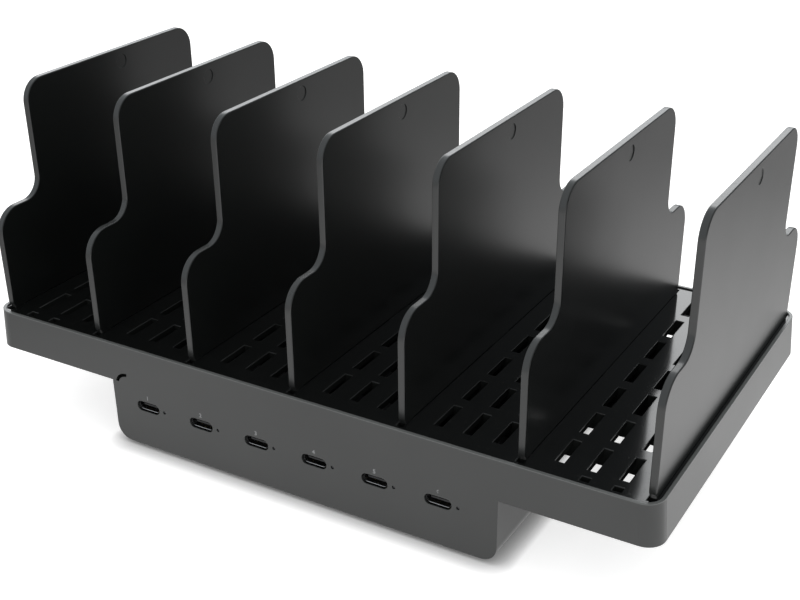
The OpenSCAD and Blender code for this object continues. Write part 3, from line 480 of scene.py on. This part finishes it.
def skins(name, grids, hollow=False):
    """One mesh of closed surfaces from grids of rings, in millimetres. Quads join each ring to the next. The last
    ring joins the first where hollow, and elsewhere a fan to its middle closes each end. Edges over CREASE are
    sharp."""
    points, faces, start = [], [], 0
    for grid in grids:
        rings, count = grid.shape[:2]
        j = np.arange(count)
        k = (j + 1) % count
        quads = ring_faces(rings + hollow, count) % (rings * count) + start
        faces += quads.tolist()
        points.append(grid.reshape(-1, 3))
        if not hollow:
            points.append(np.stack([grid[0].mean(0), grid[-1].mean(0)]))
            for first, pole in ((0, rings * count), ((rings - 1) * count, rings * count + 1)):
                faces += (np.stack([first + j, first + k, np.full(count, pole)], 1) + start).tolist()
        start += rings * count + 2 * (not hollow)
    mesh = bpy.data.meshes.new(name)
    mesh.from_pydata((np.concatenate(points) * MM).tolist(), [], faces)
    work = bmesh.new()
    work.from_mesh(mesh)
    bmesh.ops.recalc_face_normals(work, faces=work.faces)
    work.to_mesh(mesh)
    work.free()
    mesh.polygons.foreach_set("use_smooth", np.ones(len(mesh.polygons), bool))
    mesh.set_sharp_from_angle(angle=CREASE)
    piece = bpy.data.objects.new(name, mesh)
    bpy.context.scene.collection.objects.link(piece)
    return piece


def drawn_shell():
    """The shell's wall as a closed section of (depth, how far inside the outer outline), carried round a stadium.
    Dimples push the wall in by bells, d exp(-((x - a)^2 + (y - b)^2) / s^2)."""
    lip = np.linspace(0, np.pi, 7)
    ys = np.concatenate([[SHELL_BACK], np.linspace(SHELL_BACK - 2, SHELL_FRONT + SHELL_T, 12)])
    section = [(y, 0.0) for y in ys]
    section += [(SHELL_FRONT + SHELL_T / 2 * (1 - math.sin(t)), SHELL_T / 2 * (1 - math.cos(t))) for t in lip]
    section += [(y, SHELL_T) for y in ys[::-1]]
    rings = np.stack([round_rect(SHELL_W - 2 * d, SHELL_H - 2 * d, SHELL_H / 2 - d - 0.001, y, 16)
                      for y, d in section])
    line = np.linspace(-1, 1, 11)[1:-1] * (SHELL_W - SHELL_H) / 2
    top, low = rings[:, 15:16], rings[:, 47:48]
    bridge_top = np.repeat(top, 9, 1)
    bridge_top[..., 0] = -line
    bridge_low = np.repeat(low, 9, 1)
    bridge_low[..., 0] = line
    full = np.concatenate([rings[:, :16], bridge_top, rings[:, 16:48], bridge_low, rings[:, 48:]], 1)
    for side in (-1, 1):
        away = (full[..., 0] - side * DIMPLE_X) ** 2 + (full[..., 1] - SHELL_FRONT - DIMPLE_Y) ** 2
        full[..., 2] -= DIMPLE_DEPTH * np.exp(-away / DIMPLE_R ** 2) * np.sign(full[..., 2])
    return full


def at_ports(grids):
    """Each grid once at every port."""
    return [grid + [x, 0, PORT_Z] for x in port_xs for grid in grids]


def drawn_steel(name):
    """Bright drawn stainless steel: fine lines along the draw, and faint tarnish. The front edge round the mouth is
    painted dark as shade, all but its lower lip, which keeps the bright steel."""
    f = Finish(name)
    lines = f.mottle(0.00012, 2.0, stretch=(1, 0.04, 1))
    stain = f.spread(f.mottle(0.002, 3.0), 0.4, 0.75)
    # Painted shade: front-facing steel above the lower lip turns near black.
    front = f.parts(f.node("ShaderNodeNewGeometry", out="Normal"))[1] < -0.25
    lip_z = PORT_Z - LIP_BRIGHT_UNDER
    painted_mouth_shade = front * f.spread(f.parts(f.place())[2], lip_z * MM, (lip_z + LIP_FADE) * MM)
    steel = f.blend(stain * 0.5, (0.38, 0.38, 0.39), (0.28, 0.27, 0.26))
    return f.surface(Base_Color=f.blend(painted_mouth_shade, steel, (0.035, 0.035, 0.036)), Metallic=1.0,
                     Roughness=0.2 + lines * 0.12 + stain * 0.06, Normal=f.bump(lines, 0.000001))


def filled_nylon(name, black):
    """Glass-filled nylon: matt black with a fine, slightly fibrous grain and pale fibre ends."""
    f = Finish(name)
    fibre = f.mottle(0.00025, 3.0, stretch=(1, 0.3, 1))
    pale = f.spread(fibre, 0.66, 0.8)
    worn = f.worn_edge(0.00008)
    base = f.blend(pale * 0.25 + worn * 0.3, black, (0.10, 0.10, 0.10))
    return f.surface(Base_Color=base, Roughness=0.5 + fibre * 0.15, IOR=1.52, Normal=f.bump(fibre, 0.000004))


def gilt(name):
    """Hard gold plate over nickel, rubbed brighter along the wipe of the plug."""
    f = Finish(name)
    rubs = f.mottle(0.0001, 2.0, stretch=(1, 0.1, 1))
    return f.surface(Base_Color=f.blend(f.spread(rubs, 0.4, 0.7), (0.83, 0.60, 0.24), (0.70, 0.52, 0.26)),
                     Metallic=1.0, Roughness=0.22 + rubs * 0.15, Normal=f.bump(rubs, 0.0000008))


shells = skins("receptacle_shells", at_ports([drawn_shell()]), hollow=True)
dress(shells, drawn_steel("drawn_steel"), stands_for=["usb_c_shells"])

nose = [round_rect(TONGUE_W - 0.5 * (1 - math.sin(t)), TONGUE_T - 0.36 * (1 - math.sin(t)),
                   0.17 + 0.05 * math.sin(t), TONGUE_FRONT + 0.25 * (1 - math.cos(t)))
        for t in np.linspace(0, np.pi / 2, 5)]
root = [round_rect(TONGUE_W + 0.2, TONGUE_T + 0.5, 0.3, y) for y in (ROOT_FRONT, TONGUE_BACK)]
tongue = np.stack(nose + [round_rect(TONGUE_W, TONGUE_T, 0.22, ROOT_FRONT - 0.3)] + root)
base_block = np.stack([round_rect(SHELL_W - 2 * SHELL_T - 2 * e, SHELL_H - 2 * SHELL_T - 2 * e,
                                  SHELL_H / 2 - SHELL_T - e - 0.01, y)
                       for y, e in ((BASE_FRONT, 0.12), (BASE_FRONT + 0.1, 0.02), (SHELL_BACK - 0.02, 0.02))])
inserts = skins("receptacle_tongues", at_ports([tongue, base_block]))
dress(inserts, filled_nylon("tongue_nylon", (0.016, 0.016, 0.017)),
      stands_for=["usb_c_inserts"])

contact = np.stack([round_rect(CONTACT_W * w, 0.06 * h, 0.02 * h, y, 2) for y, w, h in
                    ((CONTACT_FRONT, 0.7, 0.5), (CONTACT_FRONT + 0.1, 1, 1), (CONTACT_BACK - 0.1, 1, 1),
                     (CONTACT_BACK, 0.8, 0.6))])
steps = (np.arange(CONTACTS) - (CONTACTS - 1) / 2) * CONTACT_PITCH
gilded = skins("receptacle_contacts", at_ports([contact + [x, 0, s * (TONGUE_T / 2 + 0.005)]
                                                for s in (-1, 1) for x in steps]))
dress(gilded, gilt("gilt_contact"))

# ---- Indicators ---------------------------------------------------------------------------------------------
# A smoked acrylic light pipe right of each port, turned to 1.1 mm with a domed end, pressed into its hole. Behind
# each stands a side-view LED on the port board. All are off, so the domes look dark.
PIPE_SHIFT, PIPE_R, PIPE_FRONT, PIPE_BACK = 6.9, 0.55, -68.8, -64.8


def smoked_acrylic(name):
    """Smoked acrylic: very dark and glossy, with fine turning rings."""
    f = Finish(name)
    rings = f.mottle(0.00015, 2.0)
    return f.surface(Base_Color=f.blend(rings, (0.020, 0.021, 0.023), (0.035, 0.036, 0.038)), IOR=1.49,
                     Roughness=0.14 + rings * 0.08, Normal=f.bump(rings, 0.0000015))


def white_package(name):
    """White moulded LED body: bright, slightly yellow, with the amber lens window on the side that faces out."""
    f = Finish(name)
    facing = f.spread(f.parts(f.node("ShaderNodeNewGeometry", out="Normal"))[1], -0.5, -0.9)
    grain = f.mottle(0.0002, 2.0)
    base = f.blend(facing * 0.8, (0.80, 0.79, 0.72), (0.72, 0.55, 0.20))
    return f.surface(Base_Color=base, Roughness=0.42 - facing * 0.2 + grain * 0.08, IOR=1.5,
                     Normal=f.bump(grain, 0.000002))


dome = [(PIPE_FRONT + 0.18 * (1 - math.cos(t)), max(PIPE_R * math.sin(t), 0.01))
        for t in np.linspace(0.05, np.pi / 2, 7)]
pipe = turned(dome + [(PIPE_BACK - 0.05, PIPE_R), (PIPE_BACK, PIPE_R - 0.05)], 24)
pipes = skins("light_pipes", [pipe + [x + PIPE_SHIFT, 0, PORT_Z] for x in port_xs])
dress(pipes, smoked_acrylic("smoked_acrylic"), stands_for=["indicator_lenses"])
coat("indicator_leds", white_package("led_white"))

# ---- Port board ---------------------------------------------------------------------------------------------
# A 1.6 mm glass-epoxy board under green solder mask, screwed to posts of the bottom cover. It carries a moulded
# controller and a shielded inductor for each port, and the white plug connector that brings the power.


def solder_mask(name, mask, trace, pitch):
    """Solder mask over copper: a lighter raised band for each track, on a grid of tracks that noise switches on
    and off, the mask itself on the two faces, and bare glass fibre on the sawn edges."""
    f = Finish(name)
    x, y, z = f.parts(f.place())
    on = f.spread(f.mottle(0.009, 0.0), 0.47, 0.5)
    along_x = f.spread(abs((y / pitch) % 1.0 - 0.5), 0.16, 0.2, 1.0, 0.0) * on
    along_y = f.spread(abs((x / pitch) % 1.0 - 0.5), 0.16, 0.2, 1.0, 0.0) * (1 - on)
    track = along_x + along_y
    face = f.spread(abs(f.parts(f.node("ShaderNodeNewGeometry", out="Normal"))[2]), 0.4, 0.6)
    cloud = f.mottle(0.004, 3.0)
    base = f.blend(track * 0.7, mask, trace)
    base = f.blend(f.spread(cloud, 0.3, 0.8) * 0.2, base, tuple(c * 0.6 for c in mask))
    base = f.blend(face, (0.42, 0.38, 0.22), base)
    return f.surface(Base_Color=base, Roughness=0.62 - face * 0.32 + cloud * 0.08, IOR=1.5,
                     Normal=f.bump(track * face + cloud * 0.15, 0.00003))


def moulded_epoxy(name):
    """Moulded epoxy package: matt near-black with a fine sparkle of filler and a paler, worn parting edge."""
    f = Finish(name)
    filler = f.mottle(0.00018, 3.0)
    worn = f.worn_edge(0.0002)
    base = f.blend(f.spread(filler, 0.6, 0.8) * 0.3 + worn * 0.3, (0.028, 0.028, 0.030), (0.11, 0.11, 0.11))
    soft = f.node("ShaderNodeBevel", {"samples": 4}, {"Radius": 0.00012})
    return f.surface(Base_Color=base, Roughness=0.5 + filler * 0.2, IOR=1.55, Normal=f.bump(filler, 0.000006, soft))


def sintered_ferrite(name):
    """Ground ferrite: dark grey, granular, with chipped lighter edges."""
    f = Finish(name)
    grit = f.mottle(0.0003, 4.0, 0.65)
    chips = f.worn_edge(0.0004) * f.spread(f.mottle(0.0012, 3.0), 0.5, 0.65)
    base = f.blend(f.spread(grit, 0.3, 0.75), (0.075, 0.077, 0.082), (0.125, 0.125, 0.130))
    return f.surface(Base_Color=f.blend(chips * 0.7, base, (0.24, 0.24, 0.25)), Metallic=0.15,
                     Roughness=0.55 + grit * 0.2, Normal=f.bump(grit, 0.00001))


def natural_nylon(name):
    """Natural white nylon: milky, a little yellow, glossy from the tool, with a faint flow pattern."""
    f = Finish(name)
    flow = f.mottle(0.002, 3.0, stretch=(1, 1, 0.3))
    base = f.blend(f.spread(flow, 0.3, 0.7), (0.78, 0.76, 0.69), (0.70, 0.67, 0.58))
    soft = f.node("ShaderNodeBevel", {"samples": 4}, {"Radius": 0.0002})
    return f.surface(Base_Color=base, Roughness=0.35 + flow * 0.1, IOR=1.53, Normal=f.bump(flow, 0.000006, soft))


epoxy, ferrite = moulded_epoxy("moulded_epoxy"), sintered_ferrite("ferrite_grey")
nylon = natural_nylon("natural_nylon")
coat("port_board", solder_mask("green_solder_mask", (0.012, 0.115, 0.042), (0.045, 0.24, 0.10), 0.00127))
coat("port_controllers", epoxy)
coat("port_inductors", ferrite)
coat("port_connector", nylon)

# ---- Power board --------------------------------------------------------------------------------------------
# The mains supply on a phenolic board: fuse, choke and yellow film capacitor at the inlet's side, rectifier and
# bulk capacitor, transformer, transistors on finned plates, and three output capacitors. Hand-soldered.


def phenolic(name):
    """Bare phenolic board: tan paper laminate with a lacquer sheen and darker pressed fibres."""
    f = Finish(name)
    paper = f.mottle(0.0015, 4.0, 0.6, (1, 0.35, 1))
    base = f.blend(f.spread(paper, 0.3, 0.75), (0.44, 0.32, 0.14), (0.33, 0.22, 0.09))
    return f.surface(Base_Color=base, Roughness=0.4 + paper * 0.15, IOR=1.5, Normal=f.bump(paper, 0.00001))


def wound_tape(name):
    """Yellow polyester tape over the winding: overlapping turns that step up a little every few millimetres."""
    f = Finish(name)
    z = f.parts(f.place())[2]
    turn = (z / 0.0031) % 1.0
    seam = f.spread(turn, 0.0, 0.06, 1.0, 0.0)
    wrinkle = f.mottle(0.0012, 2.0, stretch=(1, 1, 3))
    base = f.blend(seam * 0.6, (0.72, 0.47, 0.045), (0.50, 0.30, 0.03))
    return f.surface(Base_Color=base, Roughness=0.24 + wrinkle * 0.12, IOR=1.55,
                     Normal=f.bump(turn * 0.6 + wrinkle, 0.00004))


def sleeved_can(name, across, along, end_low, end_high):
    """A capacitor's dark PVC sleeve with a pale stripe down one side, open over the can's bare aluminium end."""
    f = Finish(name)
    axes = f.parts(f.place())
    stripe = f.spread(f.parts(f.node("ShaderNodeNewGeometry", out="Normal"))[across], 0.86, 0.9)
    bare = f.spread(axes[along], end_low, end_high) * \
        f.spread(abs(f.parts(f.node("ShaderNodeNewGeometry", out="Normal"))[along]), 0.6, 0.9)
    shrink = f.mottle(0.0015, 2.0)
    base = f.blend(stripe * 0.9, (0.022, 0.030, 0.048), (0.42, 0.44, 0.46))
    base = f.blend(bare, base, (0.72, 0.73, 0.74))
    return f.surface(Base_Color=base, Metallic=bare, Roughness=0.26 + shrink * 0.1 + bare * 0.12, IOR=1.53,
                     Normal=f.bump(shrink, 0.00003))


def extruded_aluminium(name):
    """Extruded plate: satin, with die lines along its height."""
    f = Finish(name)
    lines = f.mottle(0.0002, 2.0, stretch=(1, 1, 0.03))
    base = f.blend(f.spread(f.mottle(0.004, 2.0), 0.35, 0.7), (0.70, 0.71, 0.73), (0.58, 0.59, 0.61))
    soft = f.node("ShaderNodeBevel", {"samples": 4}, {"Radius": 0.0002})
    return f.surface(Base_Color=base, Metallic=1.0, Roughness=0.3 + lines * 0.18,
                     Normal=f.bump(lines, 0.000006, soft))


def enamelled_turns(name, middle, turns):
    """Copper wire laid side by side round the ring: its turns ripple with the angle about the ring's own axis."""
    f = Finish(name)
    x, y, z = f.parts(f.place())
    angle = (y - middle[1]).math("ARCTAN2", y - middle[1], x - middle[0])
    wave = (angle * turns).math("SINE", angle * turns) * 0.5 + 0.5
    enamel = f.mottle(0.001, 2.0)
    base = f.blend(wave, (0.20, 0.060, 0.012), (0.62, 0.24, 0.06))
    return f.surface(Base_Color=f.blend(enamel * 0.3, base, (0.42, 0.14, 0.03)), Metallic=0.75,
                     Roughness=0.24 + enamel * 0.1, Coat_Weight=0.4, Normal=f.bump(wave, 0.00025))


def cast_epoxy_box(name):
    """A film capacitor's yellow box, filled with paler resin below: glossy, with small pits."""
    f = Finish(name)
    pits = f.spread(f.mottle(0.0006, 2.0), 0.68, 0.78)
    shade = f.mottle(0.005, 2.0)
    base = f.blend(shade, (0.74, 0.46, 0.035), (0.64, 0.38, 0.03))
    soft = f.node("ShaderNodeBevel", {"samples": 4}, {"Radius": 0.0003})
    return f.surface(Base_Color=f.blend(pits * 0.4, base, (0.40, 0.24, 0.03)), Roughness=0.3 + pits * 0.2, IOR=1.53,
                     Normal=f.bump(1 - pits, 0.00002, soft))


def glass_fuse(name, middle_x, glass_half):
    """A cartridge fuse: nickel caps and clips, and between the caps pale glass."""
    f = Finish(name)
    x = f.parts(f.place())[0]
    glass = f.spread(abs(x - middle_x), glass_half, glass_half - 0.0001)
    lines = f.mottle(0.0003, 2.0)
    return f.surface(Base_Color=f.blend(glass, (0.72, 0.71, 0.68), (0.80, 0.84, 0.84)), Metallic=1 - glass,
                     Roughness=0.25 - glass * 0.18 + lines * 0.08, IOR=1.5, Normal=f.bump(lines, 0.000002))


def middle_of(node):
    """The middle of a CAD node's box."""
    low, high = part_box(node)
    return tuple((a + b) / 2 for a, b in zip(low, high))


coat("power_board", phenolic("phenolic_tan"))
coat("transformer_core", ferrite)
coat("transformer_winding", wound_tape("yellow_tape"))
bulk_end, can_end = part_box("bulk_capacitor")[1][1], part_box("output_capacitors")[1][2]
coat("bulk_capacitor", sleeved_can("bulk_sleeve", 2, 1, bulk_end - 0.001, bulk_end - 0.0002))
coat("output_capacitors", sleeved_can("can_sleeve", 0, 2, can_end - 0.001, can_end - 0.0002))
plates = extruded_aluminium("satin_aluminium")
coat("secondary_heatsink", plates)
coat("primary_heatsink", plates)
coat("power_transistors", epoxy)
coat("bridge_rectifier", epoxy)
coat("emi_choke", enamelled_turns("enamelled_copper", middle_of("emi_choke"), 44))
coat("line_capacitor", cast_epoxy_box("yellow_epoxy"))
fuse_low, fuse_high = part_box("fuse")
coat("fuse", glass_fuse("nickel_and_glass", middle_of("fuse")[0], (fuse_high[0] - fuse_low[0]) / 2 - 0.005))
coat("power_connector", nylon)

# ---- Leads between the boards -------------------------------------------------------------------------------
# Four short PVC leads from the power board's connector to the port board's: two red, two black, crimped at both
# ends and bent over by hand.


def pvc_leads(name, middle_x):
    """Soft PVC: red on one side of the middle, black on the other, with faint print-wheel scuffs."""
    f = Finish(name)
    side = f.parts(f.place())[0] > middle_x
    scuff = f.mottle(0.0008, 3.0, stretch=(1, 0.4, 1))
    base = f.blend(side, (0.020, 0.020, 0.022), (0.46, 0.020, 0.014))
    return f.surface(Base_Color=f.blend(f.spread(scuff, 0.55, 0.8) * 0.2, base, (0.3, 0.2, 0.2)),
                     Roughness=0.42 + scuff * 0.15, IOR=1.53, Normal=f.bump(scuff, 0.00001))


coat("supply_leads", pvc_leads("red_and_black_pvc", middle_of("supply_leads")[0]))

# ---- Screws -------------------------------------------------------------------------------------------------
# Self-tapping screws with cross-recessed heads, zinc-plated steel: into the deck's pillars from below, into the
# lid, and into the cover's posts through both boards.


def zinc_plate(name):
    """Zinc plate with a clear passivation: cool grey, faintly straw and blue in clouds."""
    f = Finish(name)
    tint = f.mottle(0.0012, 2.0)
    grain = f.mottle(0.00012, 3.0)
    worn = f.worn_edge(0.0002)
    base = f.blend(f.spread(tint, 0.35, 0.7), (0.60, 0.62, 0.66), (0.66, 0.62, 0.52))
    soft = f.node("ShaderNodeBevel", {"samples": 4}, {"Radius": 0.0002})
    return f.surface(Base_Color=f.blend(worn * 0.5, base, (0.80, 0.80, 0.80)), Metallic=1.0,
                     Roughness=0.3 + grain * 0.16, Normal=f.bump(grain, 0.000003, soft))


zinc = zinc_plate("zinc_plated_steel")
coat("board_screws", zinc)
coat("lid_screws", zinc)
coat("cover_screws", zinc)

# ---- Inner lid, insulating sheet and bottom cover -----------------------------------------------------------
# The lid closes the housing from above, under the deck's middle slots. Pressed paper insulates the mains board
# from the cover. Lid and cover are flame-proof ABS from spark-eroded tools, so both have a fine matt grain.


def eroded_black(name, black, dull, grain_size, grain_depth, round_r):
    """Black ABS with the grain of a spark-eroded tool: small soft pits, paler rubbed high spots and edges."""
    f = Finish(name)
    grain = f.mottle(grain_size, 3.0, 0.6)
    cloud = f.mottle(0.02, 3.0)
    worn = f.worn_edge(round_r * 1.5)
    base = f.blend(f.spread(cloud, 0.3, 0.7), tuple(c * 0.85 for c in black), tuple(c * 1.15 for c in black))
    base = f.blend(f.spread(grain, 0.58, 0.8) * 0.25 + worn * 0.35, base, tuple(c * 1.8 + 0.01 for c in black))
    soft = f.node("ShaderNodeBevel", {"samples": 4}, {"Radius": round_r})
    return f.surface(Base_Color=base, Roughness=dull + grain * 0.12 - worn * 0.1, IOR=1.5,
                     Normal=f.bump(grain, grain_depth, soft))


def pressed_paper(name):
    """Pressed insulating paper: cream, fibrous, a little glazed."""
    f = Finish(name)
    fibres = f.mottle(0.0006, 5.0, 0.7, (1, 0.25, 1))
    base = f.blend(f.spread(fibres, 0.3, 0.75), (0.70, 0.63, 0.42), (0.56, 0.48, 0.29))
    return f.surface(Base_Color=base, Roughness=0.6 + fibres * 0.15, IOR=1.45, Normal=f.bump(fibres, 0.00002))


coat("inner_lid", eroded_black("lid_black", (0.012, 0.012, 0.0125), 0.5, 0.0004, 0.00001, 0.0003))
coat("insulation_sheet", pressed_paper("cream_paper"))
coat("bottom_cover", eroded_black("cover_black", (0.024, 0.0242, 0.0250), 0.46, 0.0005, 0.000014, 0.0004))

# ---- Closing sheets -----------------------------------------------------------------------------------------
# A thin black sheet under the ribs at each end of the tray, beyond the housing. It closes the middle three slots of
# each row from below, and is pressed on to the ribs' edges.
SHEET_LOW, SHEET_T, SHEET_ROUND = 31.26, 0.3, 2.0
SHEET_X, SHEET_Y = (66.0, 119.5), (-26.4, 25.4)


def sheet_rings():
    """Outlines, rounded by r at the corners, from the sheet's lower face to its upper one. Both rims are drawn in by
    a tenth of a millimetre."""
    w, d = SHEET_X[1] - SHEET_X[0], SHEET_Y[1] - SHEET_Y[0]
    half = ((0, 0.6), (0, 0.1), (0.05, 0.03), (0.1, 0))
    levels = half + tuple((SHEET_T - z, e) for z, e in reversed(half))
    flat = np.stack([round_rect(w - 2 * e, d - 2 * e, SHEET_ROUND - e, z) for z, e in levels])
    return flat[..., [0, 2, 1]]


sheets = skins("closing_sheets", [sheet_rings() + [s * sum(SHEET_X) / 2, sum(SHEET_Y) / 2, SHEET_LOW]
                                  for s in (-1, 1)])
dress(sheets, eroded_black("sheet_black", (0.010, 0.010, 0.0105), 0.55, 0.0004, 0.00001, 0.0001))

# ---- Rubber feet --------------------------------------------------------------------------------------------
# Four moulded rubber pads glued into place under the cover. Each has a rounded rim and a slightly hollow sole, and
# has picked up fine dust.
FOOT_R_OUT, FOOT_H, FOOT_ROUND, SOLE_R, SOLE_HOLLOW = 5.5, 1.5, 0.5, 4.6, 0.12
FOOT_PLACES = ((-56.8, -60.1), (60.0, -60.1), (-44.0, 42.9), (44.0, 42.9))


def pad_profile():
    """(height, radius) from the hollow sole's middle, as h (1 - (r / R)^2)^2, over the rim's arc and up the side to
    the glue."""
    arc = np.linspace(0, np.pi / 2, 6)
    sole = [(SOLE_HOLLOW * (1 - (r / SOLE_R) ** 2) ** 2, r) for r in np.linspace(0.01, SOLE_R, 8)]
    rim = [(FOOT_ROUND * (1 - math.cos(t)), FOOT_R_OUT - FOOT_ROUND * (1 - math.sin(t))) for t in arc]
    return sole + rim + [(FOOT_H - 0.1, FOOT_R_OUT), (FOOT_H, FOOT_R_OUT - 0.08), (FOOT_H, 0.01)]


def dusty_rubber(name):
    """Black rubber: matt, with moulding grain, and grey dust on the sole."""
    f = Finish(name)
    grain = f.mottle(0.0003, 3.0)
    down = f.spread(f.parts(f.node("ShaderNodeNewGeometry", out="Normal"))[2], -0.5, -1.0)
    dust = down * f.spread(f.mottle(0.0015, 4.0), 0.45, 0.7)
    base = f.blend(dust * 0.5, (0.022, 0.022, 0.0225), (0.13, 0.125, 0.115))
    return f.surface(Base_Color=base, Roughness=0.72 + dust * 0.15, IOR=1.52, Normal=f.bump(grain, 0.000012))


pad = turned(pad_profile(), 48)[..., [0, 2, 1]]
pads = skins("rubber_pads", [pad + [x, y, 0] for x, y in FOOT_PLACES])
dress(pads, dusty_rubber("foot_rubber"), stands_for=["rubber_feet"])

# ---- Mains inlet --------------------------------------------------------------------------------------------
# A black nylon socket for a figure-eight plug in the back wall, and its two turned pins of nickel-plated brass with
# domed ends. Each pin's tail goes into a lug that is soldered to the power board.
PIN_R, PIN_X, PIN_Z, PIN_BACK, PIN_TAIL, LUG_LOW, LUG_T = 1.2, 4.3, 14.6, 55.4, 39.3, 8.1, 1.6


def nickel_plate(name):
    """Bright nickel: warm silver with fine turning marks and a little tarnish."""
    f = Finish(name)
    marks = f.mottle(0.00012, 2.0, stretch=(0.1, 1, 0.1))
    stain = f.spread(f.mottle(0.002, 3.0), 0.45, 0.75)
    return f.surface(Base_Color=f.blend(stain * 0.4, (0.74, 0.72, 0.68), (0.55, 0.50, 0.42)), Metallic=1.0,
                     Roughness=0.16 + marks * 0.12 + stain * 0.08, Normal=f.bump(marks, 0.000001))


tip = [(PIN_BACK - 0.9 * (1 - math.cos(t)), max(PIN_R * math.sin(t), 0.01)) for t in np.linspace(0.02, np.pi / 2, 9)]
pin = turned(tip + [(PIN_TAIL + 0.1, PIN_R), (PIN_TAIL, PIN_R - 0.1)], 32)
lug = np.stack([round_rect(2 * PIN_R - 2 * e, LUG_T - 2 * e, 0.2, z) for z, e in
                ((LUG_LOW, 0.1), (LUG_LOW + 0.1, 0), (PIN_Z - 0.1, 0), (PIN_Z, 0.1))])[..., [0, 2, 1]]
pins = skins("plug_pins", [part for s in (-1, 1) for part in
                           (pin + [s * PIN_X, 0, PIN_Z], lug + [s * PIN_X, PIN_TAIL + LUG_T / 2, 0])])
dress(pins, nickel_plate("nickel_plate"), stands_for=["inlet_pins"])
coat("ac_inlet", eroded_black("inlet_black", (0.014, 0.014, 0.0145), 0.42, 0.0003, 0.000006, 0.0002))
